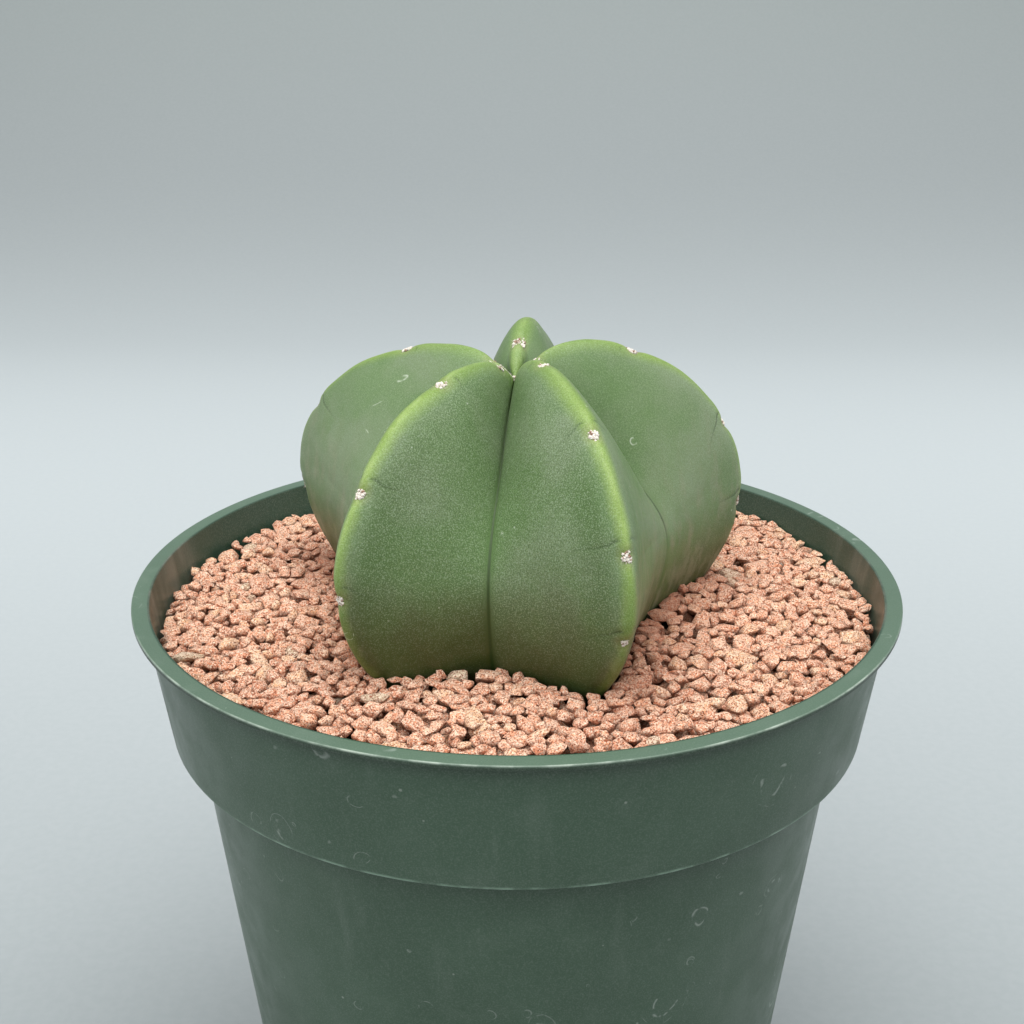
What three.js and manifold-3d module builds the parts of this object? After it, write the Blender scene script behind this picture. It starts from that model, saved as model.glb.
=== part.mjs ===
// A bishop's cap cactus in a six-inch nursery pot, dressed with crushed pink stone.
//
// Millimetres, +Z up. The origin is the centre of the pot's bottom, on the surface it stands on,
// and the plant shows its widest groove towards -Y. From the bottom up:
//
//   pot                   one moulding: foot, floor with drain slots, wall, stacking band and lip
//   potting_mix           fills the pot up to the stones, with a plain hole for the root
//   gravel_top_dressing   a layer of stones round the stem, larger than life and joined in one
//   cactus_stem           the plant, grown in one piece: five ribs, areoles and tap root
//
// Neighbouring pieces stay CLEARANCE apart, so that none cuts into another.

import * as THREE from 'three';
import { ParametricGeometry } from 'three/addons/geometries/ParametricGeometry.js';
import { mergeVertices } from 'three/addons/utils/BufferGeometryUtils.js';
import Module from 'manifold-3d';

const wasm = await Module();
wasm.setup();

// ---------------------------------------------------------------- driving dimensions

const CLEARANCE = 0.3;

const POT_HEIGHT = 140;
const RIM_RADIUS = 76.2;           // a six-inch pot is measured across its lip
const LIP_WIDTH = 3.4;
const LIP_THICKNESS = 1;
const BAND_HEIGHT = 26.9;          // the wide band under the lip, which the next pot stacks on
const BAND_TOP_RADIUS = 74;
const BAND_FOOT_RADIUS = 70.4;
const WALL_TOP_RADIUS = 65.7;      // just under the band
const BASE_RADIUS = 53.1;
const WALL_THICKNESS = 1.3;
const STEP_ROUNDING = 0.8;
const LIP_ROUNDING = 0.2;
const FLOOR_UNDERSIDE = 3.2;       // the floor is raised, so that water can run off
const FLOOR_TOP = 5;
const FOOT_WIDTH = 3;
const FOOT_CHAMFER = 0.5;
const POT_SEGMENTS = 64;

const DRAIN_SLOTS = 8;
const DRAIN_SLOT_WIDTH = 11;
const DRAIN_SLOT_INNER_RADIUS = 41;
const DRAIN_SLOT_HEIGHT = 8;       // the slots turn the corner and run this far up the wall

const GRAVEL_LINE = POT_HEIGHT - 5;   // where the stones meet the stem
const GRAVEL_DEPTH = 10;
const STONE_SPACING = 7.6;            // about twice as far apart as the real stones
const STONE_SHAKE = 0.2;              // how far a stone is off its place, as a share of spacing
const STONE_SHOULDER = 0.66;          // how far out a stone's top reaches towards its outline
const SHOULDER_SHAKE = 0.12;
const STONE_PEAK = 0.7;
const STONE_TILT = 0.35;              // rise over run
const STONE_UNEVENNESS = 0.6;         // how far a stone may lie above or below its neighbours
const CREVICE_DEPTH = 2.6;
const CREVICE_SHAKE = 0.5;
const WALL_DIP = 1.5;                 // the layer lies lower along the pot's wall
const DIP_START_RADIUS = 46;
const STONE_SEED = 41;

const STEM_AXIS = [-0.52, -6.3];      // the plant stands a little forward of the pot's middle

// A rib's crest and the groove beside it, from the crown's centre out, over the shoulder, down
// to the stones and in underneath to the root's neck: distance from the stem's axis, and height
// above the gravel line. The two lists go together, point by point.
const CREST = [
  [0, 47.1], [6.3, 51.8], [15.8, 52.9], [25.7, 50.4], [36.2, 45.4], [45.3, 36.3],
  [50.8, 25.3], [49.9, 11.8], [42, 0], [31, -6], [0, -9],
];
const GROOVE = [
  [0, 47.1], [4.5, 43.9], [10.6, 39.7], [17, 33.9], [22.2, 29.4], [26.7, 24.9],
  [29.8, 19.1], [29.7, 11], [26.3, 0], [21, -6], [0, -9],
];

// Each rib: the direction it points in, the direction of the groove after it, how far it reaches
// and how high it stands against the common outline, and where its areoles sit, counted in points
// of CREST. Directions are degrees from +X, seen from above.
const RIBS = [
  { crest: 18.2, groove: 48, reach: 0.952, height: 1.016, areoles: [0.66, 2.93, 5.18, 6.6] },
  { crest: 82.6, groove: 121.5, reach: 1.021, height: 1.052, areoles: [0.99, 3.1, 5.1, 6.6] },
  { crest: 146.3, groove: 189.7, reach: 1.072, height: 0.979, areoles: [0.7, 2.78, 5.06, 6.7] },
  { crest: 232.2, groove: 261.3, reach: 0.957, height: 0.996, areoles: [0.8, 2.67, 4.94, 6.49] },
  { crest: 293.8, groove: 347.7, reach: 0.943, height: 1.013, areoles: [1.83, 3.95, 5.74, 6.94] },
];

// How a rib's section changes from the crown to the foot: at these places, counted in points of
// CREST, the crest's own radius, and how far the flanks swell out. At the foot they are hollow.
const SECTIONS = [
  { along: 0, crestRadius: 2.8, fullness: 0.345 },
  { along: 2.5, crestRadius: 2.26, fullness: 0.49 },
  { along: 6, crestRadius: 1.14, fullness: -0.155 },
];
const SHARPEST_CREST = 0.04;      // the rounding's limits, as a share of the flank's width
const ROUNDEST_CREST = 0.8;
const CROWN_RADIUS = 15;          // a rib gains its own height over this distance
const NOTCH_DEPTH = 0.9;          // the crest dips at each areole
const NOTCH_REACH = 3;
const NOTCH_WIDTH = 0.25;         // how far down the flank the dip goes, as a share of it
const CREST_CROWDING = 1.35;      // above 1, more of the facets lie by the crest
const FLANK_FACETS = 6;
const STEM_RINGS = 38;

const AREOLE_RADIUS = 1.6;
const AREOLE_HEIGHT = 0.9;
const CROWN_TUFT_RADIUS = 2.4;
const CROWN_TUFT_HEIGHT = 1.6;
const CUSHION_SIDES = 6;
const CUSHION_BANDS = 3;

// The tap root, from inside the stem down: radius, and height above the gravel line.
const ROOT = [[11, -4], [10.5, -12], [8.5, -20], [7, -34], [4.2, -52], [1.4, -69]];
const ROOT_TIP = -73;
const ROOT_SEGMENTS = 20;

// ---------------------------------------------------------------- solids and meshes

const WELD_DISTANCE = 1e-4;
const ROUNDING_ERROR = 1e-9;

function shareVertices(geometry) {
  const bare = geometry.clone();
  bare.deleteAttribute('normal');
  bare.deleteAttribute('uv');
  return mergeVertices(bare, WELD_DISTANCE);
}

function toSolid(geometry) {
  const shared = shareVertices(geometry);
  const corners = shared.index.array;
  const faces = [];
  for (let i = 0; i < corners.length; i += 3) {
    const [a, b, c] = corners.subarray(i, i + 3);
    const hasArea = a !== b && b !== c && c !== a;
    if (hasArea) faces.push(a, b, c);
  }
  return new wasm.Manifold(new wasm.Mesh({
    numProp: 3,
    vertProperties: shared.attributes.position.array,
    triVerts: new Uint32Array(faces),
  }));
}

function toMesh(name, solid, material) {
  const { vertProperties, triVerts } = solid.getMesh();
  const geometry = new THREE.BufferGeometry();
  geometry.setAttribute('position', new THREE.BufferAttribute(vertProperties, 3));
  geometry.setIndex(new THREE.BufferAttribute(triVerts, 1));
  geometry.computeVertexNormals();
  const mesh = new THREE.Mesh(geometry, material);
  mesh.name = name;
  return mesh;
}

// Turns an outline of [radius, height] pairs about +Z.
function turned(outline, segments) {
  const points = outline.map(([radius, height]) => new THREE.Vector2(radius, height));
  const geometry = new THREE.LatheGeometry(points, segments);
  return geometry.rotateX(Math.PI / 2);
}

// A small random number generator, so that the stones lie the same way every time.
function seededRandom(seed) {
  let state = seed;
  return (low = 0, high = 1) => {
    state = (state * 1664525 + 1013904223) % 4294967296;
    return low + (high - low) * (state / 4294967296);
  };
}

// ---------------------------------------------------------------- pot

const BAND_FOOT = POT_HEIGHT - BAND_HEIGHT;

// The pot's inner wall at a height, drawn in by a gap: below the band it follows the tapered
// wall, and in the band it follows the band's own taper.
function innerRadius(height, gap = 0) {
  const wallShare = height / BAND_FOOT;
  const bandShare = (height - BAND_FOOT) / BAND_HEIGHT;
  const outer = height < BAND_FOOT
    ? THREE.MathUtils.lerp(BASE_RADIUS, WALL_TOP_RADIUS, wallShare)
    : THREE.MathUtils.lerp(BAND_FOOT_RADIUS, BAND_TOP_RADIUS, bandShare);
  return outer - WALL_THICKNESS - gap;
}

function potSolid() {
  const lipUnderside = POT_HEIGHT - LIP_THICKNESS;
  const lipInnerRadius = RIM_RADIUS - LIP_WIDTH;
  const innerStep = BAND_FOOT + WALL_THICKNESS;
  const outline = [
    [0, FLOOR_UNDERSIDE],
    [BASE_RADIUS - FOOT_WIDTH, FLOOR_UNDERSIDE],
    [BASE_RADIUS - FOOT_WIDTH + FOOT_CHAMFER, 0],
    [BASE_RADIUS - FOOT_CHAMFER, 0],
    [BASE_RADIUS, FOOT_CHAMFER],
    [WALL_TOP_RADIUS, BAND_FOOT],
    [BAND_FOOT_RADIUS - STEP_ROUNDING, BAND_FOOT],
    [BAND_FOOT_RADIUS, BAND_FOOT + STEP_ROUNDING],
    [BAND_TOP_RADIUS, lipUnderside],
    [RIM_RADIUS - LIP_ROUNDING, lipUnderside],
    [RIM_RADIUS, lipUnderside + LIP_ROUNDING],
    [RIM_RADIUS, POT_HEIGHT - LIP_ROUNDING],
    [RIM_RADIUS - LIP_ROUNDING, POT_HEIGHT],
    [lipInnerRadius + LIP_ROUNDING, POT_HEIGHT],
    [lipInnerRadius, POT_HEIGHT - LIP_ROUNDING],
    [innerRadius(innerStep + STEP_ROUNDING), innerStep + STEP_ROUNDING],
    [innerRadius(innerStep) - STEP_ROUNDING, innerStep],
    [innerRadius(BAND_FOOT - WALL_THICKNESS), innerStep - STEP_ROUNDING],
    [innerRadius(FLOOR_TOP) - STEP_ROUNDING, FLOOR_TOP],
    [0, FLOOR_TOP],
  ];
  const moulding = toSolid(turned(outline, POT_SEGMENTS));
  return moulding.subtract(drainSlots());
}

function drainSlots() {
  const length = BASE_RADIUS - DRAIN_SLOT_INNER_RADIUS + 2 * WALL_THICKNESS;
  const slots = [];
  for (let i = 0; i < DRAIN_SLOTS; i += 1) {
    const slot = new THREE.BoxGeometry(length, DRAIN_SLOT_WIDTH, 2 * DRAIN_SLOT_HEIGHT);
    slot.translate(DRAIN_SLOT_INNER_RADIUS + length / 2, 0, 0);
    slot.rotateZ(((i + 0.5) / DRAIN_SLOTS) * 2 * Math.PI);
    slots.push(toSolid(slot));
  }
  return wasm.Manifold.union(slots);
}

// ---------------------------------------------------------------- cactus

const radians = THREE.MathUtils.degToRad;
const curveOf = (outline) => new THREE.SplineCurve(outline.map(([r, h]) => new THREE.Vector2(r, h)));
const crestCurve = curveOf(CREST);
const grooveCurve = curveOf(GROOVE);
const LAST_POINT = CREST.length - 1;
const TANGENT_STEP = 0.02;        // in points of CREST

// The common crest, fitted to one rib's reach and height.
function crestAt(rib, along) {
  const point = crestCurve.getPoint(along / LAST_POINT);
  const ownShare = Math.min(1, point.x / CROWN_RADIUS);
  const ownHeight = point.y > 0 ? 1 + (rib.height - 1) * ownShare : 1;
  return new THREE.Vector2(point.x * rib.reach, point.y * ownHeight);
}

// The way out of the stem at a point of the crest: the crest line's tangent, turned by a right
// angle in the plane of the rib.
function crestNormal(rib, along) {
  const before = crestAt(rib, Math.max(0, along - TANGENT_STEP));
  const after = crestAt(rib, Math.min(LAST_POINT, along + TANGENT_STEP));
  const tangent = after.sub(before).normalize();
  return new THREE.Vector2(-tangent.y, tangent.x);
}

function notchAt(rib, along) {
  const here = crestAt(rib, along);
  let depth = 0;
  for (const areole of rib.areoles) {
    const distance = here.distanceTo(crestAt(rib, areole));
    depth += NOTCH_DEPTH * Math.exp(-((distance / NOTCH_REACH) ** 2));
  }
  return depth;
}

// A measure of the rib's section between the places that SECTIONS gives.
function sectionAt(along, measure) {
  const after = SECTIONS.findIndex((section) => section.along > along);
  if (after < 0) return SECTIONS.at(-1)[measure];
  const [near, far] = SECTIONS.slice(after - 1, after + 1);
  const share = (along - near.along) / (far.along - near.along);
  return THREE.MathUtils.lerp(near[measure], far[measure], share);
}

// A point of a rib's flank. across is 0 on the crest and 1 in the groove, and along counts the
// points of CREST and GROOVE. The section is a rounded wedge: it falls back from the crest as a
// hyperbola does, and swells or hollows a little on the way to the groove.
function flankPoint(rib, grooveDirection, along, across) {
  const crest = crestAt(rib, along);
  const notch = crestNormal(rib, along).multiplyScalar(
    -notchAt(rib, along) * Math.exp(-((across / NOTCH_WIDTH) ** 2)),
  );
  const groove = grooveCurve.getPoint(along / LAST_POINT);
  const turn = radians(grooveDirection - rib.crest);
  const grooveOut = groove.x * Math.cos(turn);
  const grooveAside = groove.x * Math.sin(turn);
  const fullness = sectionAt(along, 'fullness');
  const drop = Math.hypot(crest.x - grooveOut, crest.y - groove.y);
  const width = Math.max(WELD_DISTANCE, Math.abs(grooveAside) * (1 + fullness));
  const rounding = THREE.MathUtils.clamp(
    (sectionAt(along, 'crestRadius') * drop) / width ** 2,
    SHARPEST_CREST,
    ROUNDEST_CREST,
  );
  const fallen = (Math.hypot(across, rounding) - rounding) / (Math.hypot(1, rounding) - rounding);
  const outward = THREE.MathUtils.lerp(crest.x, grooveOut, fallen) + notch.x;
  const aside = grooveAside * across * (1 + fullness * (1 - across * across));
  const height = THREE.MathUtils.lerp(crest.y, groove.y, fallen) + notch.y;
  const direction = radians(rib.crest);
  return new THREE.Vector3(
    STEM_AXIS[0] + outward * Math.cos(direction) - aside * Math.sin(direction),
    STEM_AXIS[1] + outward * Math.sin(direction) + aside * Math.cos(direction),
    GRAVEL_LINE + height,
  );
}

// round goes once about the stem from 0 to 1, crest to groove to crest, and up goes from the
// underside at 0 to the crown at 1.
function stemSurface(round, up, target) {
  const turnOfRibs = (round * RIBS.length) % RIBS.length;
  const index = Math.floor(turnOfRibs + ROUNDING_ERROR) % RIBS.length;
  const share = Math.max(0, turnOfRibs - index);
  const past = share > 0.5;
  const rib = RIBS[past ? (index + 1) % RIBS.length : index];
  const wrap = past && index === RIBS.length - 1 ? -360 : 0;
  const across = (past ? 2 - 2 * share : 2 * share) ** CREST_CROWDING;
  target.copy(flankPoint(rib, RIBS[index].groove + wrap, (1 - up) * LAST_POINT, across));
}

// A flattened round cushion, standing on a point and facing a direction.
function cushion(centre, normal, radius, height) {
  const geometry = new THREE.SphereGeometry(1, CUSHION_SIDES, CUSHION_BANDS);
  geometry.scale(radius, height, radius);
  const facing = new THREE.Quaternion().setFromUnitVectors(new THREE.Vector3(0, 1, 0), normal);
  geometry.applyQuaternion(facing);
  geometry.translate(centre.x, centre.y, centre.z);
  return toSolid(geometry);
}

function areoleCushions() {
  const cushions = [];
  for (const rib of RIBS) {
    const direction = radians(rib.crest);
    for (const along of rib.areoles) {
      const normal = crestNormal(rib, along);
      cushions.push(cushion(
        flankPoint(rib, rib.groove, along, 0),
        new THREE.Vector3(normal.x * Math.cos(direction), normal.x * Math.sin(direction), normal.y),
        AREOLE_RADIUS,
        AREOLE_HEIGHT,
      ));
    }
  }
  const crown = new THREE.Vector3(STEM_AXIS[0], STEM_AXIS[1], GRAVEL_LINE + CREST[0][1]);
  cushions.push(cushion(crown, new THREE.Vector3(0, 0, 1), CROWN_TUFT_RADIUS, CROWN_TUFT_HEIGHT));
  return cushions;
}

function rootSolid(swell = 0) {
  const outline = [
    [0, ROOT_TIP - swell],
    ...ROOT.toReversed().map(([radius, height]) => [radius + swell, height]),
    [0, ROOT[0][1]],
  ];
  const geometry = turned(outline, ROOT_SEGMENTS);
  geometry.translate(STEM_AXIS[0], STEM_AXIS[1], GRAVEL_LINE);
  return toSolid(geometry);
}

function stemGeometry() {
  const facetsRound = RIBS.length * 2 * FLANK_FACETS;
  return shareVertices(new ParametricGeometry(stemSurface, facetsRound, STEM_RINGS));
}

// The stem and root, swollen by the gap that the stones keep from them. A facet moves out less
// than its corners do, so the corners move by more than the clearance.
function plantHole() {
  const swell = 1.6 * CLEARANCE;
  const geometry = stemGeometry();
  geometry.computeVertexNormals();
  const { position, normal } = geometry.attributes;
  for (let i = 0; i < position.count; i += 1) {
    const point = new THREE.Vector3().fromBufferAttribute(position, i);
    const out = new THREE.Vector3().fromBufferAttribute(normal, i);
    point.addScaledVector(out, swell);
    position.setXYZ(i, point.x, point.y, point.z);
  }
  return toSolid(geometry).add(rootSolid(swell));
}

function plantSolid() {
  const stem = toSolid(stemGeometry());
  return wasm.Manifold.union([stem, rootSolid(), ...areoleCushions()]);
}

// ---------------------------------------------------------------- potting mix

const MIX_TOP = GRAVEL_LINE - GRAVEL_DEPTH - CLEARANCE;

function mixSolid() {
  const bottom = FLOOR_TOP + CLEARANCE;
  const ledge = BAND_FOOT + WALL_THICKNESS + CLEARANCE;
  const bevelTop = ledge + 2 * STEP_ROUNDING;
  const outline = [
    [0, bottom],
    [innerRadius(bottom, CLEARANCE) - STEP_ROUNDING, bottom],
    [innerRadius(BAND_FOOT - WALL_THICKNESS, CLEARANCE), ledge],
    [innerRadius(ledge, CLEARANCE) - 2 * STEP_ROUNDING, ledge],
    [innerRadius(bevelTop, CLEARANCE), bevelTop],
    [innerRadius(MIX_TOP, CLEARANCE), MIX_TOP],
    [0, MIX_TOP],
  ];
  return toSolid(turned(outline, POT_SEGMENTS / 2)).subtract(rootSolid(2 * CLEARANCE));
}

// ---------------------------------------------------------------- gravel

// The stones lie in a honeycomb that has been shaken: rows of stone middles, every other row
// staggered, each middle pushed a little off its place.
function shakenMiddles(random) {
  const rowSpacing = STONE_SPACING * Math.sqrt(3) / 2;
  const rows = Math.ceil(RIM_RADIUS / rowSpacing) + 2;
  const columns = Math.ceil(RIM_RADIUS / STONE_SPACING) + 2;
  const middles = new Map();
  for (let row = -rows; row <= rows; row += 1) {
    for (let column = -columns; column <= columns; column += 1) {
      const stagger = row % 2 === 0 ? 0 : 0.5;
      middles.set(`${column},${row}`, new THREE.Vector3(
        (column + stagger + random(-STONE_SHAKE, STONE_SHAKE)) * STONE_SPACING,
        row * rowSpacing + random(-STONE_SHAKE, STONE_SHAKE) * STONE_SPACING,
        0,
      ));
    }
  }
  return middles;
}

// The six middles round a stone, anticlockwise from the one on its right.
function neighbourKeys(column, row) {
  const right = row % 2 === 0 ? column : column + 1;
  return [
    [column + 1, row], [right, row + 1], [right - 1, row + 1],
    [column - 1, row], [right - 1, row - 1], [right, row - 1],
  ].map((key) => key.join(','));
}

// How far the layer has sunk at a place, from the pot's middle out to its wall.
function sunkAt(place) {
  return WALL_DIP * THREE.MathUtils.smoothstep(place.length(), DIP_START_RADIUS, BAND_TOP_RADIUS);
}

// One sheet of stones. Each stone's outline runs through the crevices between three middles; its
// sides rise steeply from there to a shoulder, and its top is a tilted, peaked facet fan.
function stoneSheet() {
  const random = seededRandom(STONE_SEED);
  const middles = shakenMiddles(random);
  const points = [];
  const faces = [];
  const crevices = new Map();
  const addPoint = (x, y, z) => points.push([x, y, z]) - 1;

  const creviceBetween = (keys) => {
    const name = keys.toSorted().join(';');
    if (!crevices.has(name)) {
      const corner = new THREE.Vector3();
      for (const key of keys) corner.addScaledVector(middles.get(key), 1 / keys.length);
      const depth = CREVICE_DEPTH + random(-CREVICE_SHAKE, CREVICE_SHAKE) + sunkAt(corner);
      crevices.set(name, addPoint(corner.x, corner.y, GRAVEL_LINE - depth));
    }
    return crevices.get(name);
  };

  for (const [key, middle] of middles) {
    const [column, row] = key.split(',').map(Number);
    const round = neighbourKeys(column, row);
    const inside = round.every((neighbour) => middles.has(neighbour));
    if (!inside || middle.length() > RIM_RADIUS + STONE_SPACING) continue;

    const top = GRAVEL_LINE + random(-STONE_UNEVENNESS, STONE_UNEVENNESS) - sunkAt(middle);
    const tilt = [random(-STONE_TILT, STONE_TILT), random(-STONE_TILT, STONE_TILT)];
    const peak = addPoint(middle.x, middle.y, top + STONE_PEAK);
    const foot = round.map((neighbour, i) => creviceBetween([key, neighbour, round[(i + 1) % 6]]));
    const shoulder = foot.map((corner) => {
      const share = STONE_SHOULDER + random(-SHOULDER_SHAKE, SHOULDER_SHAKE);
      const dx = (points[corner][0] - middle.x) * share;
      const dy = (points[corner][1] - middle.y) * share;
      return addPoint(middle.x + dx, middle.y + dy, top + dx * tilt[0] + dy * tilt[1]);
    });
    for (let i = 0; i < 6; i += 1) {
      const next = (i + 1) % 6;
      faces.push([foot[i], foot[next], shoulder[next]]);
      faces.push([foot[i], shoulder[next], shoulder[i]]);
      faces.push([shoulder[i], shoulder[next], peak]);
    }
  }
  return { points, faces };
}

// Closes a sheet into a slab: the same faces again, flat and facing down, and a wall round it.
function slabUnder({ points, faces }, floorHeight) {
  const count = points.length;
  const sides = new Map();
  for (const face of faces) {
    face.forEach((from, i) => {
      const to = face[(i + 1) % 3];
      if (!sides.delete(`${to},${from}`)) sides.set(`${from},${to}`, [from, to]);
    });
  }
  const walls = [...sides.values()].flatMap(([from, to]) => [
    [from, from + count, to],
    [to, from + count, to + count],
  ]);
  const underside = faces.map(([a, b, c]) => [a + count, c + count, b + count]);
  const flat = points.map(([x, y]) => [x, y, floorHeight]);
  const geometry = new THREE.BufferGeometry();
  const coordinates = [...points, ...flat].flat();
  geometry.setAttribute('position', new THREE.Float32BufferAttribute(coordinates, 3));
  geometry.setIndex([...faces, ...underside, ...walls].flat());
  return toSolid(geometry);
}

function gravelSolid() {
  const bottom = GRAVEL_LINE - GRAVEL_DEPTH;
  const potInside = toSolid(turned([
    [0, bottom],
    [innerRadius(bottom, CLEARANCE), bottom],
    [innerRadius(POT_HEIGHT, CLEARANCE), POT_HEIGHT],
    [0, POT_HEIGHT],
  ], POT_SEGMENTS));
  const layer = slabUnder(stoneSheet(), bottom - GRAVEL_DEPTH);
  return largestPiece(layer.intersect(potInside).subtract(plantHole()));
}

// Drops the loose chips that the stem's outline cuts off a stone.
function largestPiece(solid) {
  const pieces = solid.decompose();
  return pieces.reduce((best, piece) => (piece.volume() > best.volume() ? piece : best));
}

// ---------------------------------------------------------------- assembly

const POT_GREEN = new THREE.MeshStandardMaterial({ color: 0x3f5a4a, roughness: 0.5 });
const SOIL_BROWN = new THREE.MeshStandardMaterial({ color: 0x3a2c22, roughness: 0.95 });
const STONE_PINK = new THREE.MeshStandardMaterial({ color: 0xc08a78, roughness: 0.9 });
const SKIN_GREEN = new THREE.MeshStandardMaterial({ color: 0x5f7f4d, roughness: 0.55 });

const pottedCactus = new THREE.Group();
pottedCactus.add(
  toMesh('pot', potSolid(), POT_GREEN),
  toMesh('potting_mix', mixSolid(), SOIL_BROWN),
  toMesh('gravel_top_dressing', gravelSolid(), STONE_PINK),
  toMesh('cactus_stem', plantSolid(), SKIN_GREEN),
);

export default pottedCactus;
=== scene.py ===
# A bishop's cap cactus in a six-inch nursery pot, top-dressed with crushed pink stone.
#
# Metres, +Z up, with the origin under the pot's middle on the surface it stands on. The sections
# follow the object from the room it stands in to the stones round the plant.

from itertools import combinations
from math import cos, pi, radians, sin

import bmesh
import bpy
import numpy as np
from mathutils import Matrix, Vector


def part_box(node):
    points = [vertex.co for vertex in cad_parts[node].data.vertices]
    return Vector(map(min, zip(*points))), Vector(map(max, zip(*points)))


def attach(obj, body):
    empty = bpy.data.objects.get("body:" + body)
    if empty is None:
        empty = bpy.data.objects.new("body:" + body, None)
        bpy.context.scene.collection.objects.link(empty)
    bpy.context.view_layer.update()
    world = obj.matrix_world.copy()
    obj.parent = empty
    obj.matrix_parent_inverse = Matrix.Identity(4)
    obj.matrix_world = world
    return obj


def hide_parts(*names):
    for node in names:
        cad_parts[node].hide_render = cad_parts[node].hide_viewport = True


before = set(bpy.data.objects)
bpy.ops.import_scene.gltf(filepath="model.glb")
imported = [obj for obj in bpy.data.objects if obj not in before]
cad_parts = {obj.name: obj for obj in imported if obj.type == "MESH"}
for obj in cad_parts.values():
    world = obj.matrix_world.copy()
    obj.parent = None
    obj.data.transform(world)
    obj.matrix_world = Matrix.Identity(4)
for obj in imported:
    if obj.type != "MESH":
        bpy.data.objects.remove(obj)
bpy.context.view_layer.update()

MM = 0.001
scene = bpy.context.scene

# ---------------------------------------------------------------- camera and room
# A studio table with a pale sweep of paper that rises behind the pot, a wide soft light overhead
# and softer ones at the sides. The paper's colour carries painted light, lighter and darker where
# the light falls off. The camera looks down on the rim from in front.

RIM_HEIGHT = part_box("pot")[1].z
CAMERA_BACK = 268.9 * MM          # from the pot's axis
CAMERA_ABOVE_RIM = 114.65 * MM
CAMERA_DOWN = radians(20.70)
CAMERA_ROLL = radians(0.05)
LENS = 50.45                      # mm, on a sensor of 36 mm
LENS_SHIFT = -0.0049              # the pot stands 5 of the 1024 pixels right of the middle

camera_data = bpy.data.cameras.new("camera")
camera_data.lens = LENS
camera_data.sensor_width = 36
camera_data.shift_x = LENS_SHIFT
camera_data.clip_start = 0.01
camera = bpy.data.objects.new("camera", camera_data)
camera.matrix_world = (
    Matrix.Translation((0, -CAMERA_BACK, RIM_HEIGHT + CAMERA_ABOVE_RIM))
    @ Matrix.Rotation(pi / 2 - CAMERA_DOWN, 4, "X")
    @ Matrix.Rotation(CAMERA_ROLL, 4, "Z")
)
scene.collection.objects.link(camera)
scene.camera = camera
scene.view_settings.view_transform = "Standard"


def fill(tree, node, inputs):
    """Joins a node's inputs to outputs, or sets them to values."""
    for name, value in inputs.items():
        if isinstance(value, bpy.types.NodeSocket):
            tree.links.new(value, node.inputs[name])
        else:
            node.inputs[name].default_value = value


def new_node(tree, kind, inputs, **settings):
    """A shader node with its settings and its inputs."""
    node = tree.nodes.new(kind)
    for name, value in settings.items():
        setattr(node, name, value)
    fill(tree, node, inputs)
    return node


def maths(tree, operation, *values, clamp=False):
    inputs = dict(enumerate(values))
    return new_node(tree, "ShaderNodeMath", inputs, operation=operation, use_clamp=clamp).outputs[0]


def times(tree, first, *others):
    """Several shares multiplied."""
    for other in others:
        first = maths(tree, "MULTIPLY", first, other)
    return first


def ramp(tree, value, low, high, to_low=0.0, to_high=1.0):
    """A smooth step from one value to another while the input goes from low to high."""
    inputs = {"Value": value, "From Min": low, "From Max": high, "To Min": to_low, "To Max": to_high}
    node = new_node(tree, "ShaderNodeMapRange", inputs, interpolation_type="SMOOTHSTEP")
    return node.outputs["Result"]


def paint(tree, under, over, *shares):
    """One colour over another, by the product of shares from 0 to 1."""
    inputs = {0: times(tree, *shares)}
    for index, colour in ((6, under), (7, over)):
        inputs[index] = colour if isinstance(colour, bpy.types.NodeSocket) else (*colour, 1)
    return new_node(tree, "ShaderNodeMix", inputs, data_type="RGBA").outputs[2]


def noise(tree, place, grain, detail=3.0, rough=0.55):
    """Soft noise from 0 to 1, with lumps about as far apart as grain, in mm."""
    inputs = {"Vector": place, "Scale": 1 / (grain * MM), "Detail": detail, "Roughness": rough}
    return new_node(tree, "ShaderNodeTexNoise", inputs).outputs["Fac"]


def new_material(name):
    """A node material: returns it, its tree, its shader and the place on the object."""
    made = bpy.data.materials.new(name)
    made.use_nodes = True
    tree = made.node_tree
    place = new_node(tree, "ShaderNodeTexCoord", {}).outputs["Object"]
    return made, tree, tree.nodes["Principled BSDF"], place


def new_piece(name, points, faces, made_of, smooth=True):
    """A mesh object of points and faces, in metres."""
    mesh = bpy.data.meshes.new(name)
    mesh.from_pydata(points, [], faces)
    mesh.polygons.foreach_set("use_smooth", [smooth] * len(mesh.polygons))
    mesh.materials.append(made_of)
    piece = bpy.data.objects.new(name, mesh)
    scene.collection.objects.link(piece)
    return piece


SWEEP_HALF_WIDTH = 3.0
SWEEP_FRONT = -1.2
SWEEP_TURN_START = 0.75
SWEEP_TURN_RADIUS = 0.9
SWEEP_HEIGHT = 2.6
SWEEP_TURN_STEPS = 40
# The paper's tones, from near to high, are painted light that stands in for the light's falloff
PAPER_NEAR = (0.268, 0.295, 0.299)
PAPER_BEHIND = (0.590, 0.636, 0.648)
PAPER_RISING = (0.435, 0.470, 0.474)
PAPER_HIGH = (0.440, 0.480, 0.472)
PAPER_FIBRE = (0.9, 0.9, 0.9)

sweep_line = [(SWEEP_FRONT, 0.0)]
for i in range(SWEEP_TURN_STEPS + 1):
    turn = i / SWEEP_TURN_STEPS * pi / 2
    back = SWEEP_TURN_START + SWEEP_TURN_RADIUS * sin(turn)
    sweep_line.append((back, SWEEP_TURN_RADIUS * (1 - cos(turn))))
sweep_line.append((SWEEP_TURN_START + SWEEP_TURN_RADIUS, SWEEP_HEIGHT))
sweep_points = [(side, y, z) for y, z in sweep_line for side in (-SWEEP_HALF_WIDTH, SWEEP_HALF_WIDTH)]
sweep_faces = [(2 * i, 2 * i + 1, 2 * i + 3, 2 * i + 2) for i in range(len(sweep_line) - 1)]

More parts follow.
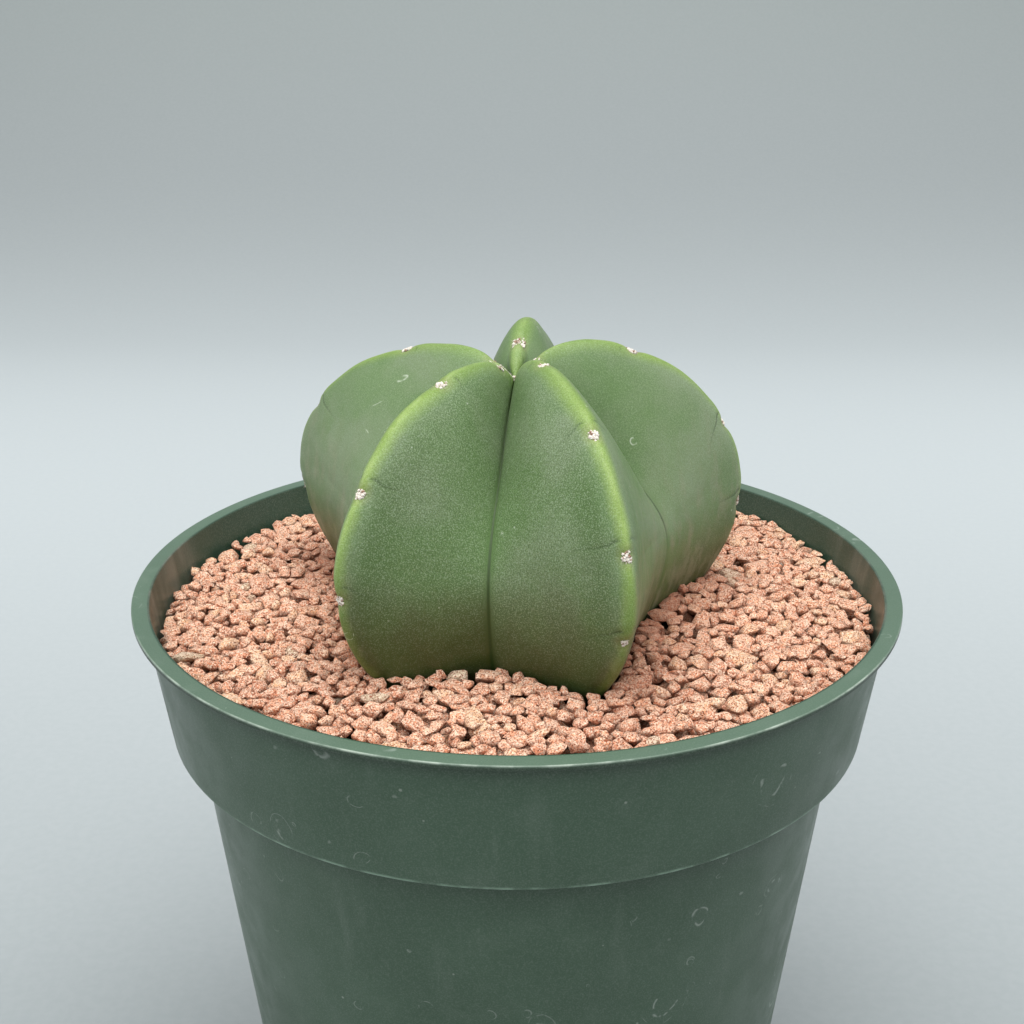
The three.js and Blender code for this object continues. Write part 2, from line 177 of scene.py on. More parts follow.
paper, tree, shader, place = new_material("paper_sweep")
split = new_node(tree, "ShaderNodeSeparateXYZ", {"Vector": place}).outputs
# painted light: darker in front, brightest behind the pot, darker up the sweep, lighter high up
ground = paint(tree, PAPER_NEAR, PAPER_BEHIND, ramp(tree, split["Y"], -0.25, 0.60))
ground = paint(tree, ground, PAPER_RISING, ramp(tree, split["Y"], 0.6, 1.15))
ground = paint(tree, ground, PAPER_HIGH, ramp(tree, split["Z"], 0.05, 0.25))
fibres = ramp(tree, noise(tree, place, 3), 0.3, 0.7)
ground = paint(tree, ground, PAPER_FIBRE, fibres, 0.03)
fill(tree, shader, {"Base Color": ground, "Roughness": 0.9, "Specular IOR Level": 0.1})
new_piece("paper_sweep", sweep_points, sweep_faces, paper)

# The lights: where each stands, its width and height in metres, and its power in watts
POT_MIDDLE = Vector((0, 0, 0.12))
LIGHTS = {
    "overhead_light": ((0.02, -0.24, 1.25), (1.3, 1.1), 17),
    "left_light": ((-1.1, 0.25, 0.45), (0.7, 0.9), 3.5),
    "right_light": ((1.1, 0.25, 0.45), (0.7, 0.9), 4.0),
    "front_light": ((-0.25, -1.1, 0.75), (0.9, 0.7), 5.2),
}
ROOM_LIGHT = (0.93, 0.97, 1.0, 1)
ROOM_STRENGTH = 0.45

for name, (at, size, power) in LIGHTS.items():
    light = bpy.data.lights.new(name, "AREA")
    light.shape = "RECTANGLE"
    light.size, light.size_y = size
    light.energy = power
    lamp = bpy.data.objects.new(name, light)
    lamp.location = at
    lamp.rotation_euler = (POT_MIDDLE - Vector(at)).to_track_quat("-Z", "Y").to_euler()
    scene.collection.objects.link(lamp)

room = bpy.data.worlds.new("room")
room.use_nodes = True
background = room.node_tree.nodes["Background"]
fill(room.node_tree, background, {"Color": ROOM_LIGHT, "Strength": ROOM_STRENGTH})
scene.world = room

# ---------------------------------------------------------------- pot
# One injection moulding of dark green polypropylene: foot, raised floor with drain slots, wall,
# the wide band that the next pot stacks on, and a thin flat lip. Handling has scuffed it, dried
# drips have left rings and streaks, and the lip's top is a little worn. Its colour also carries
# painted light: a highlight on the lip's outer edge, and shade under the lip, below the step and
# inside the band.

RIM_RADIUS = 76.2
LIP_WIDTH = 3.4
LIP_THICKNESS = 1.0
BAND_HEIGHT = 26.9
BAND_TOP_RADIUS = 74.0
BAND_FOOT_RADIUS = 70.4
WALL_TOP_RADIUS = 65.7
BASE_RADIUS = 53.1
WALL_THICKNESS = 1.3
FLOOR_UNDERSIDE = 3.2
FLOOR_TOP = 5.0
FOOT_WIDTH = 3.0
POT_SEGMENTS = 512
DRAIN_SLOTS = 8
DRAIN_SLOT_WIDTH = 11.0
DRAIN_SLOT_INNER_RADIUS = 41.0
DRAIN_SLOT_HEIGHT = 8.0

pot_height = RIM_HEIGHT / MM
band_foot = pot_height - BAND_HEIGHT
lip_underside = pot_height - LIP_THICKNESS
lip_inner_radius = RIM_RADIUS - LIP_WIDTH
inner_step = band_foot + WALL_THICKNESS


def wall_inside(height):
    """The inner wall's radius at a height, in mm: tapered below the band, and in the band too."""
    if height < band_foot:
        outside = BASE_RADIUS + (WALL_TOP_RADIUS - BASE_RADIUS) * height / band_foot
    else:
        share = (height - band_foot) / BAND_HEIGHT
        outside = BAND_FOOT_RADIUS + (BAND_TOP_RADIUS - BAND_FOOT_RADIUS) * share
    return outside - WALL_THICKNESS


def rounded(outline, steps=6):
    """An outline of (x, y, corner radius) with its corners rounded to arcs."""
    line = []
    for i, (x, y, radius) in enumerate(outline):
        corner = np.array((x, y), float)
        if radius == 0:
            line.append(corner)
            continue
        before = np.array(outline[i - 1][:2]) - corner
        after = np.array(outline[i + 1][:2]) - corner
        before /= np.linalg.norm(before)
        after /= np.linalg.norm(after)
        half = np.arccos(np.clip(before @ after, -1, 1)) / 2
        reach = radius / np.tan(half)
        start, end = corner + before * reach, corner + after * reach
        middle = corner + (before + after) / np.linalg.norm(before + after) * radius / np.sin(half)
        for step in range(steps + 1):
            share = step / steps
            chord = start + (end - start) * share - middle
            line.append(middle + chord / np.linalg.norm(chord) * radius)
    return np.array(line)


def skin_over(rings, start, end):
    """A closed skin over rings of points, which go anticlockwise about the way from start to end."""
    count, round_ = rings.shape[:2]
    points = np.concatenate([rings.reshape(-1, 3), [start], [end]])
    ring, column = np.meshgrid(np.arange(count - 1), np.arange(round_), indexing="ij")
    here = ring * round_ + column
    beside = ring * round_ + (column + 1) % round_
    quads = np.stack([here, beside, beside + round_, here + round_], -1).reshape(-1, 4)
    first, last = len(points) - 2, len(points) - 1
    top = (count - 1) * round_
    caps = [(first, (i + 1) % round_, i) for i in range(round_)]
    caps += [(last, top + i, top + (i + 1) % round_) for i in range(round_)]
    return points, quads.tolist() + caps


def turned(line, segments):
    """A closed skin from a line of (radius, height) that starts and ends on the axis."""
    turn = np.arange(segments) / segments * 2 * pi
    radius, height = line[1:-1, 0, None], line[1:-1, 1, None]
    rings = np.stack([radius * np.cos(turn), radius * np.sin(turn), height + 0 * turn], -1)
    return skin_over(rings, (0, 0, line[0, 1]), (0, 0, line[-1, 1]))


pot_outline = rounded([
    (0, FLOOR_UNDERSIDE, 0),
    (BASE_RADIUS - FOOT_WIDTH, FLOOR_UNDERSIDE, 0.6),
    (BASE_RADIUS - FOOT_WIDTH + 0.4, 0, 0.4),
    (BASE_RADIUS, 0, 0.6),
    (WALL_TOP_RADIUS, band_foot, 0.5),
    (BAND_FOOT_RADIUS, band_foot, 0.5),
    (BAND_TOP_RADIUS, lip_underside, 0.6),
    (RIM_RADIUS, lip_underside, 0.2),
    (RIM_RADIUS, pot_height, 0.2),
    (lip_inner_radius, pot_height, 0.2),
    (wall_inside(inner_step), inner_step, 0.8),
    (wall_inside(band_foot - WALL_THICKNESS), inner_step, 0.8),
    (wall_inside(FLOOR_TOP), FLOOR_TOP, 1.2),
    (0, FLOOR_TOP, 0),
])
pot_points, pot_faces = turned(pot_outline * MM, POT_SEGMENTS)

# Marks that several surfaces share, as masks: arcs of rings, and specks. They lie one in a cell, each
# cell with its own middle, and only some cells have one.


def new_marks(name, *sizes):
    """A shader node group for marks: returns it, its input sockets and its output socket."""
    group = bpy.data.node_groups.new(name, "ShaderNodeTree")
    group.interface.new_socket(name="Place", in_out="INPUT", socket_type="NodeSocketVector")
    for label in ("Spacing", *sizes, "Coverage"):
        group.interface.new_socket(name=label, in_out="INPUT", socket_type="NodeSocketFloat")
    group.interface.new_socket(name="Mask", in_out="OUTPUT", socket_type="NodeSocketFloat")
    given = group.nodes.new("NodeGroupInput").outputs
    return group, given, group.nodes.new("NodeGroupOutput").inputs["Mask"]


def marked_cells(group, given, place):
    """The distance from the nearest cell's middle, the cell's own value, and whether it has a mark."""
    inputs = {"Vector": place, "Scale": maths(group, "DIVIDE", 1.0, given["Spacing"]), "Randomness": 1.0}
    cell = new_node(group, "ShaderNodeTexVoronoi", inputs).outputs
    own = new_node(group, "ShaderNodeSeparateColor", {"Color": cell["Color"]}).outputs
    chosen = maths(group, "LESS_THAN", own[1], given["Coverage"])
    return times(group, cell["Distance"], given["Spacing"]), own[0], chosen


def rings(tree, place, spacing, radius, line, coverage):
    """Arcs of rings, by their sizes in mm and the share of cells that have one."""
    inputs = {"Place": place, "Spacing": spacing * MM, "Radius": radius * MM, "Line": line * MM}
    inputs["Coverage"] = coverage
    return new_node(tree, "ShaderNodeGroup", inputs, node_tree=ring_marks).outputs["Mask"]


def dots(tree, place, spacing, size, coverage):
    """Round specks, by their sizes in mm and the share of cells that have one."""
    inputs = {"Place": place, "Spacing": spacing * MM, "Size": size * MM, "Coverage": coverage}
    return new_node(tree, "ShaderNodeGroup", inputs, node_tree=specks).outputs["Mask"]


# The rings are bent a little out of round, and worn away in part.
BEND_SCALE = 160.0
BEND = 3.5 * MM
WEAR_SCALE = 380.0

ring_marks, given, mask = new_marks("Ring marks", "Radius", "Line")
inputs = {"Vector": given["Place"], "Scale": BEND_SCALE, "Detail": 1.0}
bend = new_node(ring_marks, "ShaderNodeTexNoise", inputs).outputs["Color"]
bend = new_node(ring_marks, "ShaderNodeVectorMath", {0: bend, "Scale": BEND}, operation="SCALE").outputs[0]
inputs = {0: bend, 1: given["Place"]}
bent = new_node(ring_marks, "ShaderNodeVectorMath", inputs, operation="ADD").outputs[0]
away, own, chosen = marked_cells(ring_marks, given, bent)
own_radius = times(ring_marks, given["Radius"], maths(ring_marks, "ADD", own, 0.35))
off_line = maths(ring_marks, "ABSOLUTE", maths(ring_marks, "SUBTRACT", away, own_radius))
off_line = maths(ring_marks, "DIVIDE", off_line, given["Line"])
on_line = maths(ring_marks, "SUBTRACT", 1.0, off_line, clamp=True)
inputs = {"Vector": given["Place"], "Scale": WEAR_SCALE, "Detail": 2.0}
kept = ramp(ring_marks, new_node(ring_marks, "ShaderNodeTexNoise", inputs).outputs["Fac"], 0.5, 0.6)
ring_marks.links.new(times(ring_marks, on_line, chosen, kept), mask)

specks, given, mask = new_marks("Specks", "Size")
away, own, chosen = marked_cells(specks, given, given["Place"])
own_size = times(specks, given["Size"], maths(specks, "ADD", own, 0.3))
inside = maths(specks, "SUBTRACT", 1.0, maths(specks, "DIVIDE", away, own_size), clamp=True)
inside = maths(specks, "MULTIPLY", inside, 2.0, clamp=True)
specks.links.new(times(specks, inside, chosen), mask)

POT_GREEN = (0.044, 0.086, 0.051)
POT_GREEN_DEEP = (0.036, 0.073, 0.042)
POT_WORN = (0.36, 0.52, 0.40)
# a painted highlight for the lip's outer edge
LIP_EDGE_HIGHLIGHT = (0.62, 0.70, 0.60)
# painted shadow under the lip and below the step
POT_PAINTED_SHADOW = (0.012, 0.022, 0.013)
DRIED_LIME = (0.30, 0.34, 0.30)
DUST = (0.55, 0.58, 0.52)
SOIL_FILM = (0.172, 0.178, 0.142)
# painted shade for the inside of the band
INNER_PAINTED_SHADE = (0.012, 0.045, 0.024)
# Rings by their spacing, radius and line in mm, and their coverage
DROPS = (15, 2.6, 0.32, 0.55)
SCUFFS = (6, 1.1, 0.14, 0.58)
SCRAPES = (15, 4, 0.13, 0.4)


def stretched(tree, place, share):
    """The place with its height shrunk, which draws a pattern out up and down."""
    inputs = {0: place, 1: (1, 1, share)}
    return new_node(tree, "ShaderNodeVectorMath", inputs, operation="MULTIPLY").outputs[0]


def bump(tree, relief, strength, depth):
    """A surface's direction over a relief, with its depth in mm."""
    inputs = {"Strength": strength, "Distance": depth * MM, "Height": relief}
    return new_node(tree, "ShaderNodeBump", inputs).outputs["Normal"]


plastic, tree, shader, place = new_material("green_plastic")
in_mm = new_node(tree, "ShaderNodeVectorMath", {0: place, "Scale": 1 / MM}, operation="SCALE").outputs[0]
split = new_node(tree, "ShaderNodeSeparateXYZ", {"Vector": in_mm}).outputs
height = split["Z"]
above_step = maths(tree, "SUBTRACT", height, band_foot)
from_axis = new_node(tree, "ShaderNodeCombineXYZ", {"X": split["X"], "Y": split["Y"]}).outputs[0]
from_axis = new_node(tree, "ShaderNodeVectorMath", {0: from_axis}, operation="LENGTH").outputs["Value"]
long_place = stretched(tree, place, 0.16)

# lime that water left: in streaks, as a film and in the rings of dried drops; scuffs, scrapes, dust
colour = paint(tree, POT_GREEN_DEEP, POT_GREEN, ramp(tree, noise(tree, place, 30), 0.3, 0.7))
streaks = ramp(tree, noise(tree, long_place, 6, 4), 0.56, 0.8)
colour = paint(tree, colour, DRIED_LIME, streaks, 0.10)
film = ramp(tree, noise(tree, place, 12, 5, 0.65), 0.5, 0.85)
colour = paint(tree, colour, DRIED_LIME, film, 0.10)
for marks, share in ((DROPS, 0.70), (SCUFFS, 0.5), (SCRAPES, 0.4)):
    colour = paint(tree, colour, DRIED_LIME, rings(tree, place, *marks), share)
colour = paint(tree, colour, DUST, dots(tree, place, 4.5, 0.32, 0.35), 0.30)

# the lip's top, worn a little, and a painted highlight along its outer edge, strongest in front, in patches
near_lip = ramp(tree, height, pot_height - 0.5, pot_height - 0.1)
outer_edge = ramp(tree, from_axis, RIM_RADIUS - 0.32, RIM_RADIUS - 0.12)
highlight_toward_front = ramp(tree, split["Y"], -15, -60, 0.05, 1.0)
patchy = ramp(tree, noise(tree, place, 5, 4), 0.40, 0.66, 0.12, 1.0)
colour = paint(tree, colour, POT_WORN, near_lip, 0.15)
colour = paint(tree, colour, LIP_EDGE_HIGHLIGHT, near_lip, outer_edge, patchy, highlight_toward_front, 0.5)

# painted shadow under the lip and below the step, and the step's edge, which is worn pale
outside = ramp(tree, from_axis, BAND_FOOT_RADIUS + 0.5, BAND_TOP_RADIUS - 0.6)
under_lip = ramp(tree, height, pot_height - 5.5, pot_height - 0.7)
off_lip = maths(tree, "SUBTRACT", 1.0, near_lip)
colour = paint(tree, colour, POT_PAINTED_SHADOW, under_lip, outside, off_lip, 0.65)
on_step = times(tree, ramp(tree, above_step, 0.9, 0.3), ramp(tree, above_step, -0.1, 0.1))
step_edge = ramp(tree, from_axis, BAND_FOOT_RADIUS - 0.5, BAND_FOOT_RADIUS - 0.2)
colour = paint(tree, colour, POT_WORN, on_step, step_edge, patchy, 0.5)
below_step = times(tree, ramp(tree, above_step, -9, -0.3), ramp(tree, above_step, 0.2, 0.0))
colour = paint(tree, colour, POT_PAINTED_SHADOW, below_step, 0.40)

# painted shade: the band's inside is painted darker green, with a film of soil at the sides
band_middle = maths(tree, "MULTIPLY", above_step, (BAND_TOP_RADIUS - BAND_FOOT_RADIUS) / BAND_HEIGHT)
band_middle = maths(tree, "ADD", band_middle, BAND_FOOT_RADIUS - WALL_THICKNESS / 2)
within = maths(tree, "SUBTRACT", band_middle, from_axis)
inside_wall = times(tree, ramp(tree, within, 0, 0.3), ramp(tree, above_step, 2, 3))
colour = paint(tree, colour, INNER_PAINTED_SHADE, inside_wall, 0.85)
sideways = ramp(tree, maths(tree, "ABSOLUTE", split["X"]), 67, 71.5, 0.02, 1.0)
muddy = ramp(tree, noise(tree, long_place, 9, 5, 0.6), 0.35, 0.7, 0.1, 0.8)
colour = paint(tree, colour, SOIL_FILM, inside_wall, muddy, sideways)

fine_specks = noise(tree, place, 0.28, 1)
colour = paint(tree, colour, DRIED_LIME, ramp(tree, fine_specks, 0.4, 0.75, 0.0, 0.14))
roughness = ramp(tree, noise(tree, place, 9, 4), 0.3, 0.7, 0.34, 0.46)
roughness = maths(tree, "ADD", roughness, times(tree, film, 0.14))
relief = maths(tree, "ADD", times(tree, noise(tree, place, 0.9, 2), 0.25), noise(tree, long_place, 7, 2))
fill(tree, shader, {"Base Color": colour, "Roughness": roughness, "Normal": bump(tree, relief, 0.18, 0.25)})

pot = new_piece("nursery_pot", pot_points, pot_faces, plastic)


def slot_cutter():
    """Eight round-cornered bars that cut the drain slots, turned up the foot of the wall."""
    half_width, top = DRAIN_SLOT_WIDTH / 2, DRAIN_SLOT_HEIGHT
    section = rounded([
        (-half_width, -1, 0), (half_width, -1, 0), (half_width, top, 2.5), (-half_width, top, 2.5),
        (-half_width, -1, 0),
    ])[:-1]
    count = len(section)
    points, faces = [], []
    for slot in range(DRAIN_SLOTS):
        turn = (slot + 0.5) / DRAIN_SLOTS * 2 * pi
        first = len(points)
        for out in (DRAIN_SLOT_INNER_RADIUS, BASE_RADIUS + 3):
            for side, height in section:
                x = out * cos(turn) - side * sin(turn)
                y = out * sin(turn) + side * cos(turn)
                points.append((x * MM, y * MM, height * MM))
        faces.append([first + i for i in range(count)][::-1])
        faces.append([first + count + i for i in range(count)])
        for i in range(count):
            after = (i + 1) % count
            faces.append((first + i, first + after, first + count + after, first + count + i))
    return new_piece("slot_cutter", points, faces, plastic, smooth=False)


cutter = slot_cutter()
cut = pot.modifiers.new("drain_slots", "BOOLEAN")
cut.operation = "DIFFERENCE"
cut.solver = "EXACT"
cut.object = cutter
bpy.context.view_layer.update()
seen = pot.evaluated_get(bpy.context.evaluated_depsgraph_get())
pot.data = bpy.data.meshes.new_from_object(seen)
pot.modifiers.clear()
bpy.data.objects.remove(cutter)
pot.data.set_sharp_from_angle(angle=radians(38))
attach(pot, "root")
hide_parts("pot")

# ---------------------------------------------------------------- potting mix
# Dark peat and bark, filled in loose and firmed round the root, from the pot's floor up to the
# gravel. The stones hide it and it shows only in the drain slots, so it keeps its plain solid and
# gets a material.

MIX_DARK = (0.016, 0.010, 0.007)
MIX_BROWN = (0.075, 0.045, 0.027)
BARK_BROWN = (0.16, 0.10, 0.06)

peat, tree, shader, place = new_material("potting_mix")
crumbs = ramp(tree, noise(tree, place, 1.6, 5, 0.65), 0.35, 0.7)
colour = paint(tree, MIX_DARK, MIX_BROWN, crumbs)
colour = paint(tree, colour, BARK_BROWN, dots(tree, place, 4, 1.1, 0.3), 0.6)
roughness = ramp(tree, crumbs, 0, 1, 0.98, 0.85)
fill(tree, shader, {"Base Color": colour, "Roughness": roughness, "Normal": bump(tree, crumbs, 1.0, 0.9)})
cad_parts["potting_mix"].material_slots[0].material = peat

# ---------------------------------------------------------------- cactus
# The plant's body, grown in one piece: a stout stem drawn out into five ribs, each with a round
# crest and full flanks that meet in grooves, and a tap root that holds it in the mix. The skin is
# bald, grey-green and finely grained, yellow-green along the crests, olive towards the foot. Its
# colour also carries painted shade towards the foot, beside the crests low down, in the grooves
# and creases, and a painted highlight along the crests' ridges.

GRAVEL_LINE = pot_height - 5.0    # where the stones meet the stem
STEM_X, STEM_Y = -0.52, -6.3
# Each rib's direction and the groove's after it, in degrees, and its own reach and height
RIB_CREST = (18.2, 82.6, 146.3, 232.2, 293.8)
RIB_GROOVE = (48.0, 121.5, 189.7, 261.3, 347.7)
RIB_REACH = (0.952, 1.021, 1.072, 0.957, 0.943)
RIB_HEIGHT = (1.016, 1.047, 0.979, 0.996, 1.013)

# A rib's crest and the groove beside it, from the crown out, over the shoulder, down into the
# stones and on to the root's tip: distance from the stem's axis, and height over the gravel line.
CREST = np.array([
    (0, 47.1), (6.3, 51.8), (15.8, 52.9), (25.7, 50.4), (36.2, 45.4), (45.3, 36.3), (50.8, 25.3),
    (49.9, 11.8), (42, 0), (31, -6), (16, -9), (10.8, -14), (8.6, -21), (7, -34), (4.2, -52),
    (1.5, -69), (0, -73),
])
GROOVE = np.array([
    (0, 47.1), (4.5, 43.9), (10.6, 39.7), (17, 33.9), (22.2, 29.4), (26.7, 24.9), (29.8, 19.1),
    (29.7, 11), (26.3, 0), (21, -6), (14, -9), (10.6, -14), (8.6, -21), (7, -34), (4.2, -52),
    (1.5, -69), (0, -73),
])
# Where the areoles sit on each rib, in points of CREST
AREOLES = (
    (0.66, 2.93, 5.18, 6.6), (0.99, 3.1, 5.1, 6.6), (0.7, 2.78, 5.06, 6.7), (0.8, 2.67, 4.94, 6.49),
    (1.83, 3.95, 5.74, 6.94),
)
# The crest's own radius and the flanks' fullness, from the crown to the foot: at these places
# counted in points of the outlines. Low down the flanks are a little hollow.
SECTION_AT = (0, 2.5, 6)
CREST_RADIUS = (2.8, 2.26, 1.14)
FLANK_FULLNESS = (0.345, 0.49, -0.155)
CROWN_RADIUS = 15
NOTCH_DEPTH = 0.6
NOTCH_ABOVE, NOTCH_BELOW, NOTCH_WIDTH = 1.1, 2.1, 1.9
SADDLE_DEPTH = 0.1
BROW_HEIGHT = 0.14
CREASE_REACH = (5.0, 9.0)         # how far a crease runs from the crest
SHOULDER = 3.2                    # above this point of CREST creases are short
SHORT_CREASE = 0.35
CREASE_DROOP = (-0.8, 2.2)
CREASE_LIFT = 2.2                 # it starts so far above its areole
CREASE_DEPTH, CREASE_WIDTH = 0.16, 0.38
GROOVE_DEPTH, GROOVE_WIDTH = 0.18, 0.4
PEAR_LENGTH = 7.0
PEAR_HEIGHT = (0.05, 0.65, 0.05, 0, 0)
PEAR_TROUGH = (0.1, 0.7, 0.1, 0, 0)
FRONT_GROOVE = 3                  # the groove that faces the camera, in order of RIB_GROOVE
ROOT_NECK = 10                    # from this point of the outlines down, the plant is round
FLANK_COLUMNS = 26
RINGS_IN_LIGHT = 300
RINGS_BELOW = 36

cactus_random = np.random.default_rng(5)


def smooth_line(points, along):
    """A line through points with an even bend, at places counted in points."""
    count = len(points)
    system = np.eye(count)
    pull = np.zeros(points.shape)
    for i in range(1, count - 1):
        system[i, i - 1:i + 2] = (1, 4, 1)
        pull[i] = 6 * (points[i + 1] - 2 * points[i] + points[i - 1])
    bend = np.linalg.solve(system, pull)
    i = np.clip(np.asarray(along).astype(int), 0, count - 2)
    near = (i + 1 - along)[..., None]
    far = 1 - near
    line = near * points[i] + far * points[i + 1]
    return line + ((near ** 3 - near) * bend[i] + (far ** 3 - far) * bend[i + 1]) / 6


def crest_line(rib, along):
    """The common crest, fitted to a rib's own reach and height."""
    line = smooth_line(CREST, along)
    own = np.clip(1 - (np.asarray(along) - 8) / (ROOT_NECK - 8), 0, 1)
    reach = 1 + (RIB_REACH[rib] - 1) * own
    near_crown = np.minimum(1, line[..., 0] / CROWN_RADIUS)
    height = np.where(line[..., 1] > 0, 1 + (RIB_HEIGHT[rib] - 1) * near_crown, 1)
    return np.stack([line[..., 0] * reach, line[..., 1] * height], -1)


# Rings of points from the root's tip up to the crown, and columns from crest to groove to crest.
last = len(CREST) - 1
rings_below = last - np.linspace(0.12, last - 8.2, RINGS_BELOW)
rings_in_light = np.linspace(8.12, 0.02, RINGS_IN_LIGHT)
along = np.concatenate([rings_below, rings_in_light])
to_groove = (1 - np.cos(np.linspace(0, pi, FLANK_COLUMNS + 1))) / 2
to_groove = 0.6 * to_groove + 0.4 * np.linspace(0, 1, FLANK_COLUMNS + 1)
column_rib, column_turn, across = [], [], []
for rib in range(5):
    after = (rib + 1) % 5
    wrap = 360 if rib == 4 else 0
    for share in to_groove:
        column_rib.append(rib)
        column_turn.append(RIB_GROOVE[rib] - RIB_CREST[rib])
        across.append(share)
    for share in to_groove[-2:0:-1]:
        column_rib.append(after)
        column_turn.append(RIB_GROOVE[rib] - RIB_CREST[after] - wrap)
        across.append(share)
column_rib = np.array(column_rib)
column_turn = np.radians(column_turn)
across = np.array(across)
column_side = np.sign(column_turn)

crest_of = np.stack([crest_line(rib, along) for rib in range(5)], 1)
crest = crest_of[:, column_rib]
groove = smooth_line(GROOVE, along)[:, None]
fullness = np.interp(along, SECTION_AT, FLANK_FULLNESS)[:, None]
radius = np.interp(along, SECTION_AT, CREST_RADIUS)[:, None]
groove_out = groove[..., 0] * np.cos(column_turn)
groove_aside = groove[..., 0] * np.sin(column_turn)
fall = np.hypot(crest[..., 0] - groove_out, crest[..., 1] - groove[..., 1])
width = np.maximum(np.abs(groove_aside) * (1 + fullness), 0.1)
rounding = np.clip(radius * fall / width ** 2, 0.04, 0.8)
fallen = (np.hypot(across, rounding) - rounding) / (np.hypot(1, rounding) - rounding)
outward = crest[..., 0] + (groove_out - crest[..., 0]) * fallen
aside = groove_aside * across * (1 + fullness * (1 - across ** 2))
upward = crest[..., 1] + (groove[..., 1] - crest[..., 1]) * fallen
heading = np.radians(np.array(RIB_CREST))[column_rib]
body = np.stack([
    STEM_X + outward * np.cos(heading) - aside * np.sin(heading),
    STEM_Y + outward * np.sin(heading) + aside * np.cos(heading),
    GRAVEL_LINE + upward,
], -1)

# Distances over the skin, in mm: from the crest, from the groove, from the nearest areole, and
# from the crease that starts above it.
crest_points = body[:, ::2 * FLANK_COLUMNS][:, column_rib]
groove_columns = FLANK_COLUMNS + 2 * FLANK_COLUMNS * np.arange(5)
nearest_groove = np.where(column_side > 0, column_rib, (column_rib - 1) % 5)
groove_points = body[:, groove_columns[nearest_groove]]
from_crest = np.linalg.norm(body - crest_points, axis=-1)
from_groove = np.linalg.norm(body - groove_points, axis=-1)

crest_step = np.linalg.norm(np.diff(crest_of, axis=0), axis=-1)
crest_length = np.concatenate([crest_step[::-1].cumsum(0)[::-1], np.zeros((1, 5))])[:, column_rib]


def crest_place(rib, at):
    """A point on a rib's crest line, in mm."""
    out, height = crest_line(rib, np.array(at))
    turn = radians(RIB_CREST[rib])
    return np.array((STEM_X + out * cos(turn), STEM_Y + out * sin(turn), GRAVEL_LINE + height))


from_areole = np.full(body.shape[:2], 99.0)
from_crease = np.full(body.shape[:2], 99.0)
crease_share = np.zeros(body.shape[:2])
notch = np.zeros(body.shape[:2])
for rib, places in enumerate(AREOLES):
    mine = column_rib == rib
    out = from_crest[:, mine]
    for order, at in enumerate(places):
        distance = np.linalg.norm(body[:, mine] - crest_place(rib, at), axis=-1)
        from_areole[:, mine] = np.minimum(from_areole[:, mine], distance)
        length_here = np.interp(-at, -along, crest_length[:, mine][:, 0])
        down = crest_length[:, mine] - length_here
        steepness = np.where(down < 0, NOTCH_ABOVE, NOTCH_BELOW)
        pit = NOTCH_DEPTH * np.exp(-(down / steepness) ** 2 - (out / NOTCH_WIDTH) ** 2)
        saddle = SADDLE_DEPTH * np.exp(-((down - 1.0) / 4.0) ** 2 - (out / 5.0) ** 2)
        brow = BROW_HEIGHT * np.exp(-((down + 4.2) / 2.2) ** 2 - (out / 3.5) ** 2)
        notch[:, mine] += (pit + saddle - brow) * (0.5 if order == 0 and rib != 1 else 1)
        for side in (-1, 1):
            there = mine & (column_side == side)
            reach = cactus_random.uniform(*CREASE_REACH) * (SHORT_CREASE if at < SHOULDER else 1)
            droop = cactus_random.uniform(*CREASE_DROOP)
            away = from_crest[:, there]
            line = -CREASE_LIFT + droop * (away / 7) ** 2 - 0.7 * np.sin(np.clip(away / 3.2, 0, 1) * pi)
            off = crest_length[:, there] - length_here - line
            share = np.clip((away - 0.6) / 0.8, 0, 1) * np.clip(1.3 - away / reach, 0, 1)
            share *= cactus_random.uniform(0.5, 1)
            nearer = np.abs(off) < np.abs(from_crease[:, there])
            from_crease[:, there] = np.where(nearer, off, from_crease[:, there])
            crease_share[:, there] = np.where(nearer, share, crease_share[:, there])
    # between the crown and its first areole a crest stands up as a small pear, most of all behind
    from_crown = crest_length[:, mine]
    grown = np.clip(from_crown / PEAR_LENGTH, 0, 1.4)
    half = 0.5 + 3.2 * grown
    pear = PEAR_HEIGHT[rib] * np.exp(-(out / half) ** 2)
    pear -= PEAR_TROUGH[rib] * np.exp(-((out - 1.75 * half) / (0.7 * half)) ** 2)
    first = np.interp(-places[0], -along, crest_length[:, mine][:, 0])
    ends = np.clip((first - from_crown + 0.8) / 1.6, 0, 1)
    notch[:, mine] -= pear * np.sin(np.clip(grown, 0, 1) * pi / 2) * ends

# Push the skin in at the notches, creases and grooves, and let it swell and sink a little.
normal = np.cross(np.roll(body, -1, 1) - np.roll(body, 1, 1), np.gradient(body, axis=0))
normal /= np.maximum(np.linalg.norm(normal, axis=-1), 1e-9)[..., None]
x, y, z = body[..., 0], body[..., 1], body[..., 2]
swelling = (
    0.18 * np.sin(x / 7.3 + 1.1) * np.sin(z / 9.1 + y / 11)
    + 0.12 * np.sin(y / 5.1 - z / 7.7 + 0.4)
    + 0.07 * np.sin(x / 2.9 + z / 3.7) * np.sin(y / 3.3 + 1.9)
)
swelling *= np.clip(crest[..., 0] / 14, 0, 1) * (1 - np.exp(-(from_groove / 5) ** 2))
above_ground = np.clip((z - GRAVEL_LINE + 6) / 6, 0, 1)
push = swelling - notch
push -= GROOVE_DEPTH * np.exp(-(from_groove / GROOVE_WIDTH) ** 2)
push -= CREASE_DEPTH * crease_share * np.exp(-(from_crease / CREASE_WIDTH) ** 2)
body = body + normal * (push * above_ground)[..., None]

body_points, body_faces = skin_over(
    body * MM,
    np.array((STEM_X, STEM_Y, GRAVEL_LINE + CREST[-1, 1])) * MM,
    np.array((STEM_X, STEM_Y, GRAVEL_LINE + CREST[0, 1])) * MM,
)

